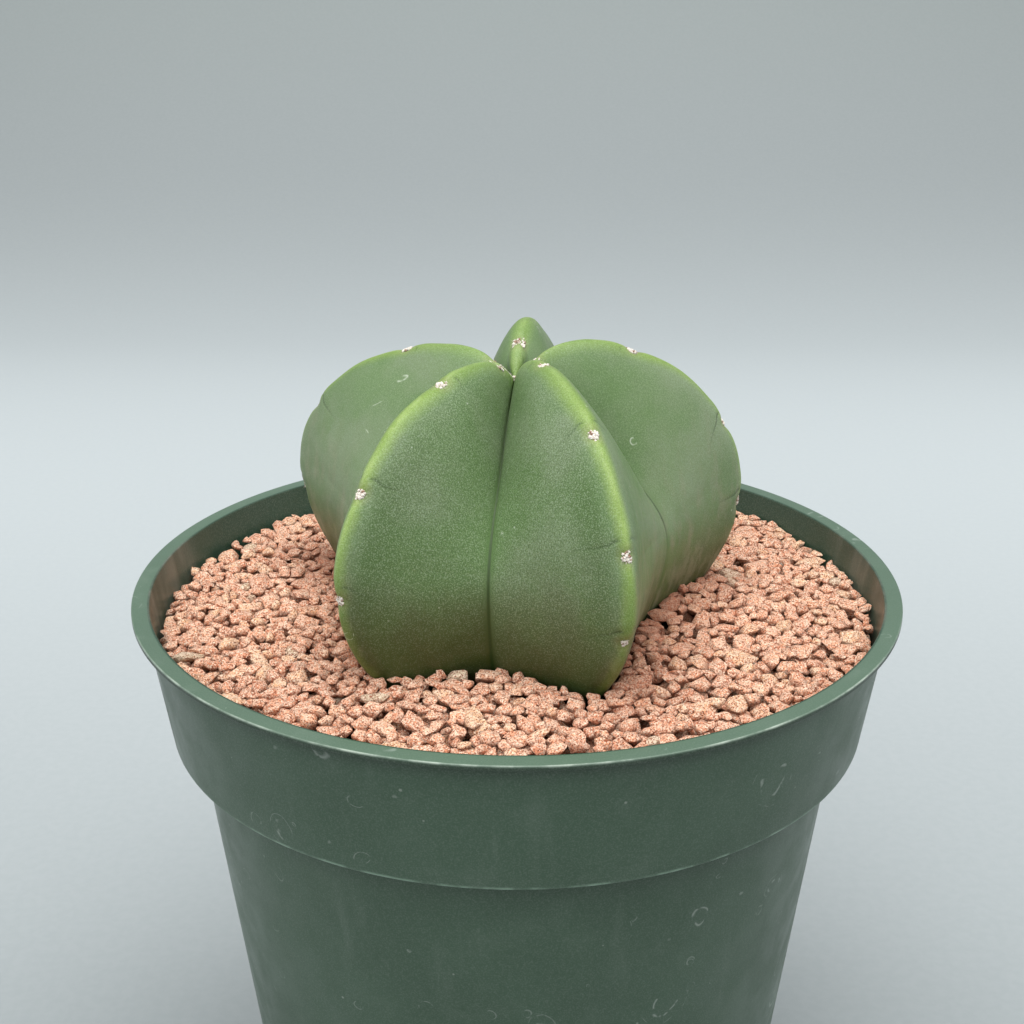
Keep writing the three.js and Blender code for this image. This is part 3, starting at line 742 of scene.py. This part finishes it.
FLANK_GREEN = (0.121, 0.202, 0.074)
FLANK_GREY = (0.165, 0.230, 0.116)
FLANK_SHADE_BY_CREST = (0.058, 0.108, 0.026)
FLANK_WEATHERED = (0.235, 0.235, 0.150)
CREST_LIME = (0.220, 0.335, 0.056)
CREST_HIGHLIGHT = (0.52, 0.64, 0.26)
CROWN_GREEN = (0.205, 0.322, 0.118)
FOOT_OLIVE_AND_SHADE = (0.043, 0.060, 0.008)
FOOT_BROWN = (0.105, 0.100, 0.040)
GROOVE_SHADE = (0.024, 0.050, 0.008)
AREOLE_RIM = (0.26, 0.26, 0.10)
GRAIN_PALE = (0.42, 0.52, 0.36)
GRAIN_DARK = (0.045, 0.085, 0.022)
SCAR_PALE = (0.56, 0.62, 0.48)
FLECK_PALE = (0.60, 0.66, 0.54)
NICKS = (9, 0.9, 0.16, 0.6)
SCRATCHES = (26, 2.6, 0.14, 0.5)

skin, tree, shader, place = new_material("cactus_skin")


def measure(tree, name, output="Fac"):
    """A measure that the mesh keeps for each of its points."""
    return new_node(tree, "ShaderNodeAttribute", {}, attribute_name=name).outputs[output]


from_crest_mm = measure(tree, "from_crest")
from_groove_mm = measure(tree, "from_groove")
age = measure(tree, "age")
stipple = measure(tree, "stippled")
wide_cloud = noise(tree, place, 16, 3)
fine_cloud = noise(tree, place, 3.5, 4)

# grey-green flanks, fresher at the crown, olive and corky towards the foot, where the dark olive
# is partly the skin's own colour and partly painted shade
colour = paint(tree, FLANK_GREEN, FLANK_GREY, ramp(tree, wide_cloud, 0.35, 0.65))
colour = paint(tree, colour, CROWN_GREEN, ramp(tree, age, 0.3, 0.0, 0.0, 0.55))
uneven_age = maths(tree, "ADD", age, times(tree, maths(tree, "SUBTRACT", wide_cloud, 0.5), 0.25))
colour = paint(tree, colour, FOOT_OLIVE_AND_SHADE, ramp(tree, uneven_age, 0.70, 0.97, 0.0, 0.97))
corky = times(tree, ramp(tree, uneven_age, 0.75, 1.0), ramp(tree, fine_cloud, 0.42, 0.62))
colour = paint(tree, colour, FOOT_BROWN, corky, 0.25)
# painted shade in the hollow of the lower flanks beside each crest
beside_crest = times(tree, ramp(tree, from_crest_mm, 2.0, 4.5), ramp(tree, from_crest_mm, 12.0, 5.0))
colour = paint(tree, colour, FLANK_SHADE_BY_CREST, beside_crest, ramp(tree, age, 0.38, 0.66, 0.0, 0.42), stipple)
weathered = ramp(tree, noise(tree, stretched(tree, place, 0.3), 3, 6, 0.7), 0.45, 0.65)
weathered = times(tree, weathered, ramp(tree, stipple, 0.9, 0.5))
colour = paint(tree, colour, FLANK_WEATHERED, weathered, ramp(tree, age, 0.45, 0.8, 0.0, 0.55))

# the lime band along the crests, and a painted highlight along its ridge
uneven_crest = maths(tree, "ADD", from_crest_mm, times(tree, fine_cloud, 1.2))
uneven_crest = times(tree, uneven_crest, ramp(tree, age, 0.3, 0.62, 1.0, 1.5))
lime = times(tree, ramp(tree, uneven_crest, 4.4, 1.1), ramp(tree, age, 0.98, 0.60, 0.3, 0.78))
lime = times(tree, lime, ramp(tree, age, 0.15, 0.42, 0.62, 1.0))
colour = paint(tree, colour, CREST_LIME, lime)
ridge_highlight = times(tree, ramp(tree, from_crest_mm, 1.0, 0.1), ramp(tree, fine_cloud, 0.38, 0.62, 0.2, 1.0))
colour = paint(tree, colour, CREST_HIGHLIGHT, ridge_highlight, ramp(tree, age, 0.85, 0.6), lime, 0.32)

# painted shade along the foot of the grooves and in the creases, and the brown rims of the areoles
groove_shade_mask = ramp(tree, from_groove_mm, 0.5, 0.1, 0.0, 0.8)
colour = paint(tree, colour, GROOVE_SHADE, groove_shade_mask, measure(tree, "groove_shade_share"))
crease = ramp(tree, maths(tree, "ABSOLUTE", measure(tree, "from_crease")), 0.42, 0.08)
colour = paint(tree, colour, GROOVE_SHADE, crease, measure(tree, "crease_share"), 0.75)
colour = paint(tree, colour, AREOLE_RIM, ramp(tree, measure(tree, "from_areole"), 2.9, 1.7), 0.22)

# the fine grain, and the marks of a few years: nicks, scratches and flecks
grain = noise(tree, place, 0.23, 1, 0.6)
off_seam = ramp(tree, from_groove_mm, 0.4, 1.6)
off_foot = ramp(tree, age, 1.0, 0.75, 0.35, 1.0)
pale_grain = ramp(tree, grain, 0.50, 0.68, 0.0, 0.36)
colour = paint(tree, colour, GRAIN_PALE, pale_grain, off_foot, stipple, off_seam)
colour = paint(tree, colour, GRAIN_DARK, ramp(tree, grain, 0.50, 0.32, 0.0, 0.46), stipple)
for marks, share in ((NICKS, 0.75), (SCRATCHES, 0.55)):
    colour = paint(tree, colour, SCAR_PALE, rings(tree, place, *marks), off_seam, share)
colour = paint(tree, colour, FLECK_PALE, dots(tree, place, 4, 0.22, 0.4), 0.5)
relief = maths(tree, "ADD", times(tree, grain, 0.5), times(tree, fine_cloud, 0.5))
fill(tree, shader, {
    "Base Color": colour,
    "Roughness": ramp(tree, fine_cloud, 0.3, 0.7, 0.42, 0.55),
    "Specular IOR Level": 0.36,
    "Subsurface Weight": 0.12,
    "Subsurface Radius": (0.6, 1.0, 0.3),
    "Subsurface Scale": 1.5 * MM,
    "Normal": bump(tree, relief, 0.35, 0.18),
})


def keep_measure(piece, name, values, kind="FLOAT", field="value"):
    """Keeps a measure for each point of a piece, for its material to read."""
    piece.data.attributes.new(name, kind, "POINT").data.foreach_set(field, np.ravel(values))


cactus = new_piece("cactus_body", body_points, body_faces, skin)
# The two flanks of the groove in front have aged the most, that on its left first. They are also
# the most stippled. The painted shade at the foot of the groove to the right is left out low down.
in_front = nearest_groove == FRONT_GROOVE
age_of = np.clip(along / 8, 0, 1.2)[:, None] * np.where(in_front, 1.0, 0.93)
age_of = age_of * np.where(in_front & (column_rib == 4), 0.95, 1.0)
stippled = np.where(in_front, 1.0, 0.42)
stippled = stippled + (0.6 - stippled) * np.exp(-(from_crest / 3) ** 2)
groove_shade_left_out = np.where(nearest_groove == FRONT_GROOVE + 1, 1, 0) * np.clip((age_of - 0.66) / 0.1, 0, 1)
# Each measure over the rings, at the root's tip and at the crown
for name, values, at_tip, at_crown in (
    ("from_crest", from_crest, 9, 0), ("from_groove", from_groove, 9, 0.5),
    ("from_areole", from_areole, 99, 9), ("from_crease", from_crease, 99, 99),
    ("crease_share", crease_share, 0, 0), ("age", age_of, 1.2, 0),
    ("stippled", stippled, 0.5, 0.5), ("groove_shade_share", 1 - groove_shade_left_out, 1, 1),
):
    keep_measure(cactus, name, np.append(values, (at_tip, at_crown)))
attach(cactus, "root")
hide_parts("cactus_stem")

# ---------------------------------------------------------------- areole wool
# Each areole is a felt of short white wool with brown dead ends in it and a thin papery fringe.
# The youngest ones stand close together at the crown.

def ball(steps):
    """An icosahedron split so many times, as unit directions and triangles."""
    golden = (1 + 5 ** 0.5) / 2
    points = [(-1, golden, 0), (1, golden, 0), (-1, -golden, 0), (1, -golden, 0),
              (0, -1, golden), (0, 1, golden), (0, -1, -golden), (0, 1, -golden),
              (golden, 0, -1), (golden, 0, 1), (-golden, 0, -1), (-golden, 0, 1)]
    faces = [(0, 11, 5), (0, 5, 1), (0, 1, 7), (0, 7, 10), (0, 10, 11), (1, 5, 9), (5, 11, 4),
             (11, 10, 2), (10, 7, 6), (7, 1, 8), (3, 9, 4), (3, 4, 2), (3, 2, 6), (3, 6, 8),
             (3, 8, 9), (4, 9, 5), (2, 4, 11), (6, 2, 10), (8, 6, 7), (9, 8, 1)]
    points = [Vector(point).normalized() for point in points]
    for _ in range(steps):
        middles = {}
        finer = []
        for face in faces:
            halves = []
            for a, b in zip(face, face[1:] + face[:1]):
                edge = (min(a, b), max(a, b))
                if edge not in middles:
                    middles[edge] = len(points)
                    points.append((points[a] + points[b]).normalized())
                halves.append(middles[edge])
            a, b, c = face
            ab, bc, ca = halves
            finer += [(a, ab, ca), (b, bc, ab), (c, ca, bc), (ab, bc, ca)]
        faces = finer
    return np.array(points), np.array(faces)


WOOL_LUMPS = 34
LUMP_RADIUS = (0.17, 0.36)
WOOL_HAIRS = 30
HAIR_LENGTH = (0.35, 0.8)
HAIR_RADIUS = 0.035
HAIR_STEPS = 5
BROWN_SHARE = (0.22, 0.36, 0.22, 0.22, 0.22)     # of each rib's lumps are dead ends
AREOLE_LENGTH = 1.4
AREOLE_WIDTH = 0.95
AREOLE_SINK = 0.80                # how deep a pad sits in its notch
# Each areole's size, in the order of AREOLES: that on the rib at the back is the widest
AREOLE_SIZES = (
    (0.9, 1, 0.7, 0.7), (1.25, 1, 1, 0.8), (0.6, 0.9, 0.7, 0.7), (0.8, 1, 0.85, 0.65),
    (0.95, 0.95, 0.85, 0.55),
)
WOOL_CREAM = (0.70, 0.61, 0.50)
WOOL_WHITE = (0.95, 0.92, 0.86)
WOOL_BROWN = (0.26, 0.125, 0.065)

wool, tree, shader, place = new_material("areole_wool")
fluff = noise(tree, place, 0.25, 4, 0.7)
colour = paint(tree, WOOL_CREAM, WOOL_WHITE, ramp(tree, fluff, 0.3, 0.7))
colour = paint(tree, colour, WOOL_BROWN, measure(tree, "stain"))
fill(tree, shader, {
    "Base Color": colour, "Roughness": 0.95, "Sheen Weight": 0.3, "Normal": bump(tree, fluff, 1.0, 0.15),
})

wool_random = np.random.default_rng(11)
lump_ball = ball(1)
wool_points, wool_faces, wool_stain = [], [], []


def add_wool(points, faces, stained):
    first = sum(len(part) for part in wool_points)
    wool_points.append(points)
    wool_faces.extend([tuple(int(corner) + first for corner in face) for face in faces])
    wool_stain.append(np.full(len(points), stained))


def add_hair(root, way, length, stained):
    """A curled three-sided hair that tapers to a point."""
    side = np.cross(way, wool_random.normal(size=3))
    side /= np.linalg.norm(side)
    other = np.cross(way, side)
    points = []
    for step in range(HAIR_STEPS + 1):
        share = step / HAIR_STEPS
        middle = root + way * length * share + side * length * 0.55 * share ** 2
        width = HAIR_RADIUS * (1 - 0.8 * share)
        for corner in range(3):
            turn = corner * 2 * pi / 3
            points.append(middle + width * (cos(turn) * side + sin(turn) * other))
    tip = 3 * HAIR_STEPS
    faces = [(2, 1, 0), (tip, tip + 1, tip + 2)]
    for step in range(HAIR_STEPS):
        for corner in range(3):
            a, b = 3 * step + corner, 3 * step + (corner + 1) % 3
            faces.append((a, b, b + 3, a + 3))
    add_wool(np.array(points), faces, stained)


def add_areole(rib, at, size, brown, sunk=AREOLE_SINK):
    """One flat pad of felt on a rib's crest, longer along the crest than across."""
    centre = crest_place(rib, at)
    below, above = crest_place(rib, at + 0.05), crest_place(rib, max(at - 0.05, 0))
    down = (below - above) / np.linalg.norm(below - above)
    turn = radians(RIB_CREST[rib])
    aside = np.array((-sin(turn), cos(turn), 0))
    out = np.cross(aside, down)
    out *= np.sign(out @ (centre - np.array((STEM_X, STEM_Y, GRAVEL_LINE + 15))))
    centre = centre - out * sunk
    for lump in range(WOOL_LUMPS):
        turn = lump * pi * (1 + 5 ** 0.5)
        spread = ((lump + 0.5) / WOOL_LUMPS) ** 0.5
        x = (spread * cos(turn) + wool_random.normal(0, 0.12)) * AREOLE_LENGTH * size
        y = (spread * sin(turn) + wool_random.normal(0, 0.12)) * AREOLE_WIDTH * size
        lift = 0.30 * (1 - spread ** 2) * size + 0.10
        middle = centre + down * x + aside * y + out * lift
        radius = wool_random.uniform(*LUMP_RADIUS) * size ** 0.5
        dead = wool_random.uniform() < brown
        stained = wool_random.uniform(*((0.7, 1) if dead else (0, 0.15)))
        directions, triangles = lump_ball
        bumpy = directions * (radius * wool_random.uniform(0.65, 1.25, (len(directions), 1)))
        add_wool(bumpy + middle, triangles, stained)
    for _ in range(WOOL_HAIRS):
        turn = wool_random.uniform(0, 2 * pi)
        spread = wool_random.uniform(0.5, 1.1)
        along_crest = down * cos(turn) * AREOLE_LENGTH * size + aside * sin(turn) * AREOLE_WIDTH * size
        root = centre + along_crest * spread + out * 0.05
        way = out * wool_random.uniform(0.1, 0.7) + along_crest / np.linalg.norm(along_crest) * 0.7
        way /= np.linalg.norm(way)
        add_hair(root, way, wool_random.uniform(*HAIR_LENGTH) * size, wool_random.uniform(0, 0.5))


for rib, places in enumerate(AREOLES):
    for order, at in enumerate(places):
        add_areole(rib, at, AREOLE_SIZES[rib][order], BROWN_SHARE[rib])

# The youngest wool: a tuft in the crown's middle, and a thin line of it down to the first areoles
for rib in range(5):
    add_areole(rib, 0.03, 0.32, 0.1, sunk=-0.1)
for rib in (0, 3):
    for at in np.arange(0.1, AREOLES[rib][0], 0.035):
        middle = crest_place(rib, at) + wool_random.normal(0, 0.05, 3)
        directions, triangles = lump_ball
        lump = directions * wool_random.uniform(0.07, 0.15, (len(directions), 1))
        add_wool(lump + middle + (0, 0, 0.05), triangles, wool_random.uniform(0, 0.3))

tufts = new_piece("areole_wool", np.concatenate(wool_points) * MM, wool_faces, wool)
keep_measure(tufts, "stain", np.concatenate(wool_stain))
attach(tufts, "root")

# ---------------------------------------------------------------- gravel
# Crushed pink stone of about 2 to 6 mm, a centimetre deep, which lies loose. Each stone is a convex
# lump of about a dozen flat faces with rubbed edges. They are dropped one by one, each into the
# lowest of a few places tried, and come to rest on those below, on the wall and on the stem. The
# stones' lower parts, and the stones round the stem, are painted darker as shade.

GRAVEL_DEPTH = 9.6
STONE_KINDS = 72
STONE_COUNT = 6000                # those that find no place are left out
STONE_SIZE = 1.85                 # half of a stone's length, in the middle of the range
STONE_SIZES = (1.1, 3.1)
STONE_SPREAD = 0.25               # how widely sizes vary
STONE_FORM = (1.05, (0.72, 1), (0.55, 0.85))     # length, and the ranges of width and thickness
STONE_TILT = 0.4                  # a stone's usual tilt, in radians
LUMP_PLANES = (9, 14)             # the fewest faces of a lump, and one more than the most
PLANE_OUT = (0.76, 1.0)           # how far a lump's planes lie from its middle
FILLER_SHARE = 0.22               # the last ones are small and fill the holes
FILLER_SIZES = (0.95, 1.4)
TRIES = 9                         # places tried for a stone
STONE_SINK = 0.38                 # how far stones settle between each other
STONE_REACH = 1.5                 # a stone's farthest corner, over its size
CELL = 0.3
MAX_RISE = 1.5
SHARD_SHARE = 0.25                # of the stones are flat splinters
SHARD_FORM = (1.2, (0.65, 0.85), (0.35, 0.5))
EDGE_RUB = 0.19                   # the rounding of a stone's edges, over its size
STEM_FOOT = 7.9                   # where the stem meets the stones, counted along CREST
STEM_GIVE = 0.7                   # how far stones press into the stem's foot
STEM_GROUND = 1e3                 # a ground so high that no stone lands on it
MOUND_X, MOUND_Y = 34, 0          # they are heaped up a little in the groove on the right
MOUND_HEIGHT = 2.4
MOUND_WIDTH = 12
WALL_DIP = 1.7                    # and lie lower along the wall
DIP_START, DIP_RUN = 46, 24
SHOWN_CELLS = 5                   # a stone that shows in more cells than these is cut finely
HEAPS = 5

# How much painted shade the stones get about the stem, in degrees and as a share, and how far out from it
PLANT_SHADE_REACH = 18
PLANT_SHADE_TURN = (-75, -55, 0, 40, 110, 150, 180, 215, 240)
PLANT_SHADE_AMOUNT = (0.0, 0.8, 0.9, 0.3, 0.9, 0.9, 0.6, 0.5, 0.0)

random = np.random.default_rng(20)

# The stem's outline just above the gravel line, as reach against direction
foot = body[np.abs(along - STEM_FOOT).argmin()] - (STEM_X, STEM_Y, 0)
foot_turn = np.arctan2(foot[:, 1], foot[:, 0])
foot_reach = np.hypot(foot[:, 0], foot[:, 1])


def turning(spin, tilt, lean):
    """A rotation matrix: spun about the upright, then tilted towards a direction."""
    leant = Matrix.Rotation(lean, 3, "Z") @ Matrix.Rotation(tilt, 3, "X")
    return np.array(leant @ Matrix.Rotation(spin, 3, "Z"))


def cut_lump():
    """A lump of size 1: its planes' directions and distances from its middle, and its corners."""
    planes = random.integers(*LUMP_PLANES)
    # A golden-angle spiral spreads the planes' directions evenly, and then each is moved a little
    step = np.arange(planes) + 0.5
    up = 1 - 2 * step / planes
    turn = step * pi * (1 + 5 ** 0.5) + random.uniform(0, 2 * pi)
    level = np.sqrt(1 - up * up)
    facing = np.stack([level * np.cos(turn), level * np.sin(turn), up], -1)
    facing += random.normal(0, 0.2, facing.shape)
    facing /= np.linalg.norm(facing, axis=1)[:, None]
    distance = random.uniform(*PLANE_OUT, planes)
    # A corner is where three planes meet, and counts if it lies behind all the others
    threes = np.array(list(combinations(range(planes), 3)))
    threes = threes[np.abs(np.linalg.det(facing[threes])) > 0.02]
    corners = np.linalg.solve(facing[threes], distance[threes][..., None])[..., 0]
    return facing, distance, corners[(corners @ facing.T < distance + 1e-6).all(1)]


def rubbed_lump(corners, rub, steps):
    """The lump's points and triangles, with its edges rubbed round and its faces uneven."""
    lump = bmesh.new()
    for corner in corners:
        lump.verts.new(corner)
    bmesh.ops.remove_doubles(lump, verts=lump.verts, dist=0.03)
    hull = bmesh.ops.convex_hull(lump, input=lump.verts)
    inner = set(hull["geom_interior"] + hull["geom_unused"])
    inner = [part for part in inner if isinstance(part, bmesh.types.BMVert)]
    bmesh.ops.delete(lump, geom=inner, context="VERTS")
    bmesh.ops.dissolve_limit(lump, angle_limit=radians(3), verts=lump.verts, edges=lump.edges)
    if rub:
        bmesh.ops.bevel(lump, geom=lump.edges, offset=rub, segments=steps, profile=0.5,
                        affect="EDGES", clamp_overlap=True)
    bmesh.ops.triangulate(lump, faces=lump.faces)
    lump.verts.index_update()
    points = np.array([vertex.co for vertex in lump.verts])
    faces = np.array([[vertex.index for vertex in face.verts] for face in lump.faces])
    lump.free()
    way = points / np.linalg.norm(points, axis=1)[:, None]
    uneven = np.sin(way @ random.normal(0, 3.5, (3, 6)) + random.uniform(0, 6.3, 6)).sum(1)
    return points * (1 + 0.016 * uneven)[:, None], faces


def stone_heights(facing, distance, x, y):
    """A stone's top and underside over places about its middle, or nothing outside it."""
    height = (distance - x[..., None] * facing[:, 0] - y[..., None] * facing[:, 1]) / facing[:, 2]
    top = np.where(facing[:, 2] > 0, height, np.inf).min(-1)
    bottom = np.where(facing[:, 2] < 0, height, -np.inf).max(-1)
    inside = top > bottom
    return np.where(inside, top, -np.inf), np.where(inside, bottom, np.inf)


lumps = [cut_lump() for _ in range(STONE_KINDS)]


def drop_stones():
    """Lets the stones down one by one: each one's kind, form, turn and place, and which show."""
    cells = int(RIM_RADIUS / CELL)
    axis = (np.arange(-cells, cells + 1)) * CELL
    grid_x, grid_y = np.meshgrid(axis, axis, indexing="ij")
    from_axis = np.hypot(grid_x, grid_y)
    bottom = GRAVEL_LINE - GRAVEL_DEPTH
    slope = (wall_inside(pot_height) - wall_inside(bottom)) / (pot_height - bottom)
    ground = bottom + np.maximum(0, from_axis - wall_inside(bottom) + 0.15) / slope
    from_stem = np.hypot(grid_x - STEM_X, grid_y - STEM_Y)
    stem_turn = np.arctan2(grid_y - STEM_Y, grid_x - STEM_X)
    stem_reach = np.interp(stem_turn, foot_turn, foot_reach, period=2 * pi)
    ground = np.where(from_stem < stem_reach - STEM_GIVE, STEM_GROUND, ground)
    # Poured gravel isn't level: it has a slow swell, the mound, and the dip along the wall
    swell = 0.5 * np.sin(grid_x / 17 + 1) * np.cos(grid_y / 13) + 0.3 * np.sin((grid_x - grid_y) / 8)
    from_mound = (grid_x - MOUND_X) ** 2 + (grid_y - MOUND_Y) ** 2
    swell += MOUND_HEIGHT * np.exp(-from_mound / MOUND_WIDTH ** 2)
    near_wall = np.clip((from_axis - DIP_START) / DIP_RUN, 0, 1)
    swell -= WALL_DIP * near_wall * (1 - 0.3 * grid_x / RIM_RADIUS)
    owner = np.full(ground.shape, -1)
    stones = []
    for number in range(STONE_COUNT):
        filler = number > (1 - FILLER_SHARE) * STONE_COUNT
        if filler:
            size = random.uniform(*FILLER_SIZES)
        else:
            size = np.clip(STONE_SIZE * np.exp(random.normal(0, STONE_SPREAD)), *STONE_SIZES)
        length, width, thickness = SHARD_FORM if random.uniform() < SHARD_SHARE else STONE_FORM
        form = np.array((length, random.uniform(*width), random.uniform(*thickness))) * size
        spin = random.uniform(0, 2 * pi)
        tilt = abs(random.normal(0, STONE_TILT))
        turned_by = turning(spin, tilt, random.uniform(0, 2 * pi))
        kind = random.integers(STONE_KINDS)
        facing, distance, _ = lumps[kind]
        facing = facing / form
        stretch = np.linalg.norm(facing, axis=1)
        facing, distance = (facing / stretch[:, None]) @ turned_by.T, distance / stretch
        window = int(np.ceil(size * STONE_REACH / CELL))
        local = np.arange(-window, window + 1) * CELL
        local_x, local_y = np.meshgrid(local, local, indexing="ij")
        top, underside = stone_heights(facing, distance, local_x, local_y)
        best = None
        for _ in range(TRIES * 3 if filler else TRIES):
            out = (wall_inside(GRAVEL_LINE) - 0.8 * size) * np.sqrt(random.uniform())
            turn = random.uniform(0, 2 * pi)
            i = int(round(out * cos(turn) / CELL)) + cells
            j = int(round(out * sin(turn) / CELL)) + cells
            here = (slice(i - window, i + window + 1), slice(j - window, j + window + 1))
            if ground[i, j] >= STEM_GROUND or here[0].stop > len(axis) or here[1].stop > len(axis):
                continue
            height = (ground[here] - underside).max() - STONE_SINK
            rise = (height + top).max() - GRAVEL_LINE - swell[i, j]
            if rise < MAX_RISE and (best is None or height - swell[i, j] < best[0]):
                best = (height - swell[i, j], height, here, i, j)
        if best is None:
            continue
        _, height, here, i, j = best
        covers = height + top > ground[here]
        ground[here] = np.where(covers, height + top, ground[here])
        owner[here] = np.where(covers, len(stones), owner[here])
        stones.append((kind, form, turned_by, np.array((axis[i], axis[j], height))))
    shown = np.bincount(owner[owner >= 0], minlength=len(stones)) > SHOWN_CELLS
    return stones, shown


def plant_shade_share(at):
    """How much painted shade a stone gets: the most between the ribs, where the plant shades it."""
    x, y = at[0] - STEM_X, at[1] - STEM_Y
    turn = np.arctan2(y, x)
    beyond = np.hypot(x, y) - np.interp(turn, foot_turn, foot_reach, period=2 * pi)
    share = np.interp(np.degrees(turn), PLANT_SHADE_TURN, PLANT_SHADE_AMOUNT, period=360)
    return share * np.clip(1 - beyond / PLANT_SHADE_REACH, 0, 1)


def heap(name, stones, meshes, made_of):
    """One mesh of many stones, each with random values of its own for its colour."""
    points, faces, tints, heights, plant_shades = [], [], [], [], []
    first = 0
    for kind, form, turned_by, at in stones:
        own_points, own_faces = meshes[kind]
        own_points = (own_points * form) @ turned_by.T
        points.append((own_points + at) * MM)
        faces.append(own_faces + first)
        tints.append(np.tile(random.uniform(size=3), (len(own_points), 1)))
        heights.append(own_points[:, 2] / own_points[:, 2].max())
        plant_shades.append(np.full(len(own_points), plant_shade_share(at)))
        first += len(own_points)
    piece = new_piece(name, np.concatenate(points), np.concatenate(faces), made_of)
    keep_measure(piece, "stone_tint", np.concatenate(tints), "FLOAT_VECTOR", "vector")
    keep_measure(piece, "height_on_stone", np.concatenate(heights))
    keep_measure(piece, "plant_shade", np.concatenate(plant_shades))
    return piece


STONE_SALMON = (0.84, 0.375, 0.215)
STONE_ROSE = (0.70, 0.270, 0.145)
STONE_SAND = (0.88, 0.50, 0.28)
STONE_GREY = (0.62, 0.47, 0.31)
STONE_BLACK = (0.10, 0.085, 0.075)
STONE_PORE = (0.33, 0.090, 0.040)
STONE_PALE = (1.0, 0.80, 0.62)
STONE_UNDERSIDE_SHADE = (0.20, 0.070, 0.036)
STONE_SHADE_NEAR_STEM = (0.30, 0.102, 0.054)

stone_face, tree, shader, place = new_material("crushed_stone")
tint = measure(tree, "stone_tint", "Vector")
tint = new_node(tree, "ShaderNodeSeparateXYZ", {"Vector": tint}).outputs
colour = paint(tree, STONE_ROSE, STONE_SALMON, ramp(tree, tint["X"], 0.0, 0.5))
colour = paint(tree, colour, STONE_SAND, ramp(tree, tint["X"], 0.75, 1.0))
colour = paint(tree, colour, STONE_GREY, ramp(tree, tint["Y"], 0.985, 0.99))
colour = paint(tree, colour, STONE_BLACK, ramp(tree, tint["Y"], 0.998, 0.9985))
mottle = ramp(tree, noise(tree, place, 1.1, 3), 0.38, 0.66)
colour = paint(tree, colour, STONE_PALE, mottle, 0.45)
pores = ramp(tree, noise(tree, place, 0.33, 2, 0.6), 0.48, 0.62)
colour = paint(tree, colour, STONE_PORE, pores, 0.95)
glints = ramp(tree, noise(tree, place, 0.29, 2, 0.6), 0.50, 0.64)
colour = paint(tree, colour, STONE_PALE, glints, 0.95)
# painted shade on each stone's lower part, where the stones hide each other
underside_shade = ramp(tree, measure(tree, "height_on_stone"), 0.40, -0.35, 0.0, 0.65)
colour = paint(tree, colour, STONE_UNDERSIDE_SHADE, underside_shade)
# painted shade on the stones round the stem
colour = paint(tree, colour, STONE_SHADE_NEAR_STEM, measure(tree, "plant_shade"), 0.9)
relief = maths(tree, "SUBTRACT", noise(tree, place, 0.9, 4, 0.65), times(tree, pores, 0.25))
fill(tree, shader, {
    "Base Color": colour,
    "Roughness": ramp(tree, tint["Z"], 0, 1, 0.82, 0.95),
    "Specular IOR Level": 0.35,
    "Normal": bump(tree, relief, 1.0, 0.4),
})

dropped, shown = drop_stones()
seen_stones = [stone for stone, seen in zip(dropped, shown) if seen]
hidden_stones = [stone for stone, seen in zip(dropped, shown) if not seen]
fine_lumps = [rubbed_lump(corners, EDGE_RUB, 2) for _, _, corners in lumps]
coarse_lumps = [rubbed_lump(corners, 0, 0) for _, _, corners in lumps]
heaps = [
    heap(f"gravel_stones_{i + 1}", seen_stones[i::HEAPS], fine_lumps, stone_face) for i in range(HEAPS)
]
heaps.append(heap("gravel_stones_below", hidden_stones, coarse_lumps, stone_face))
for piece in heaps:
    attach(piece, "root")
    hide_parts("gravel_top_dressing")
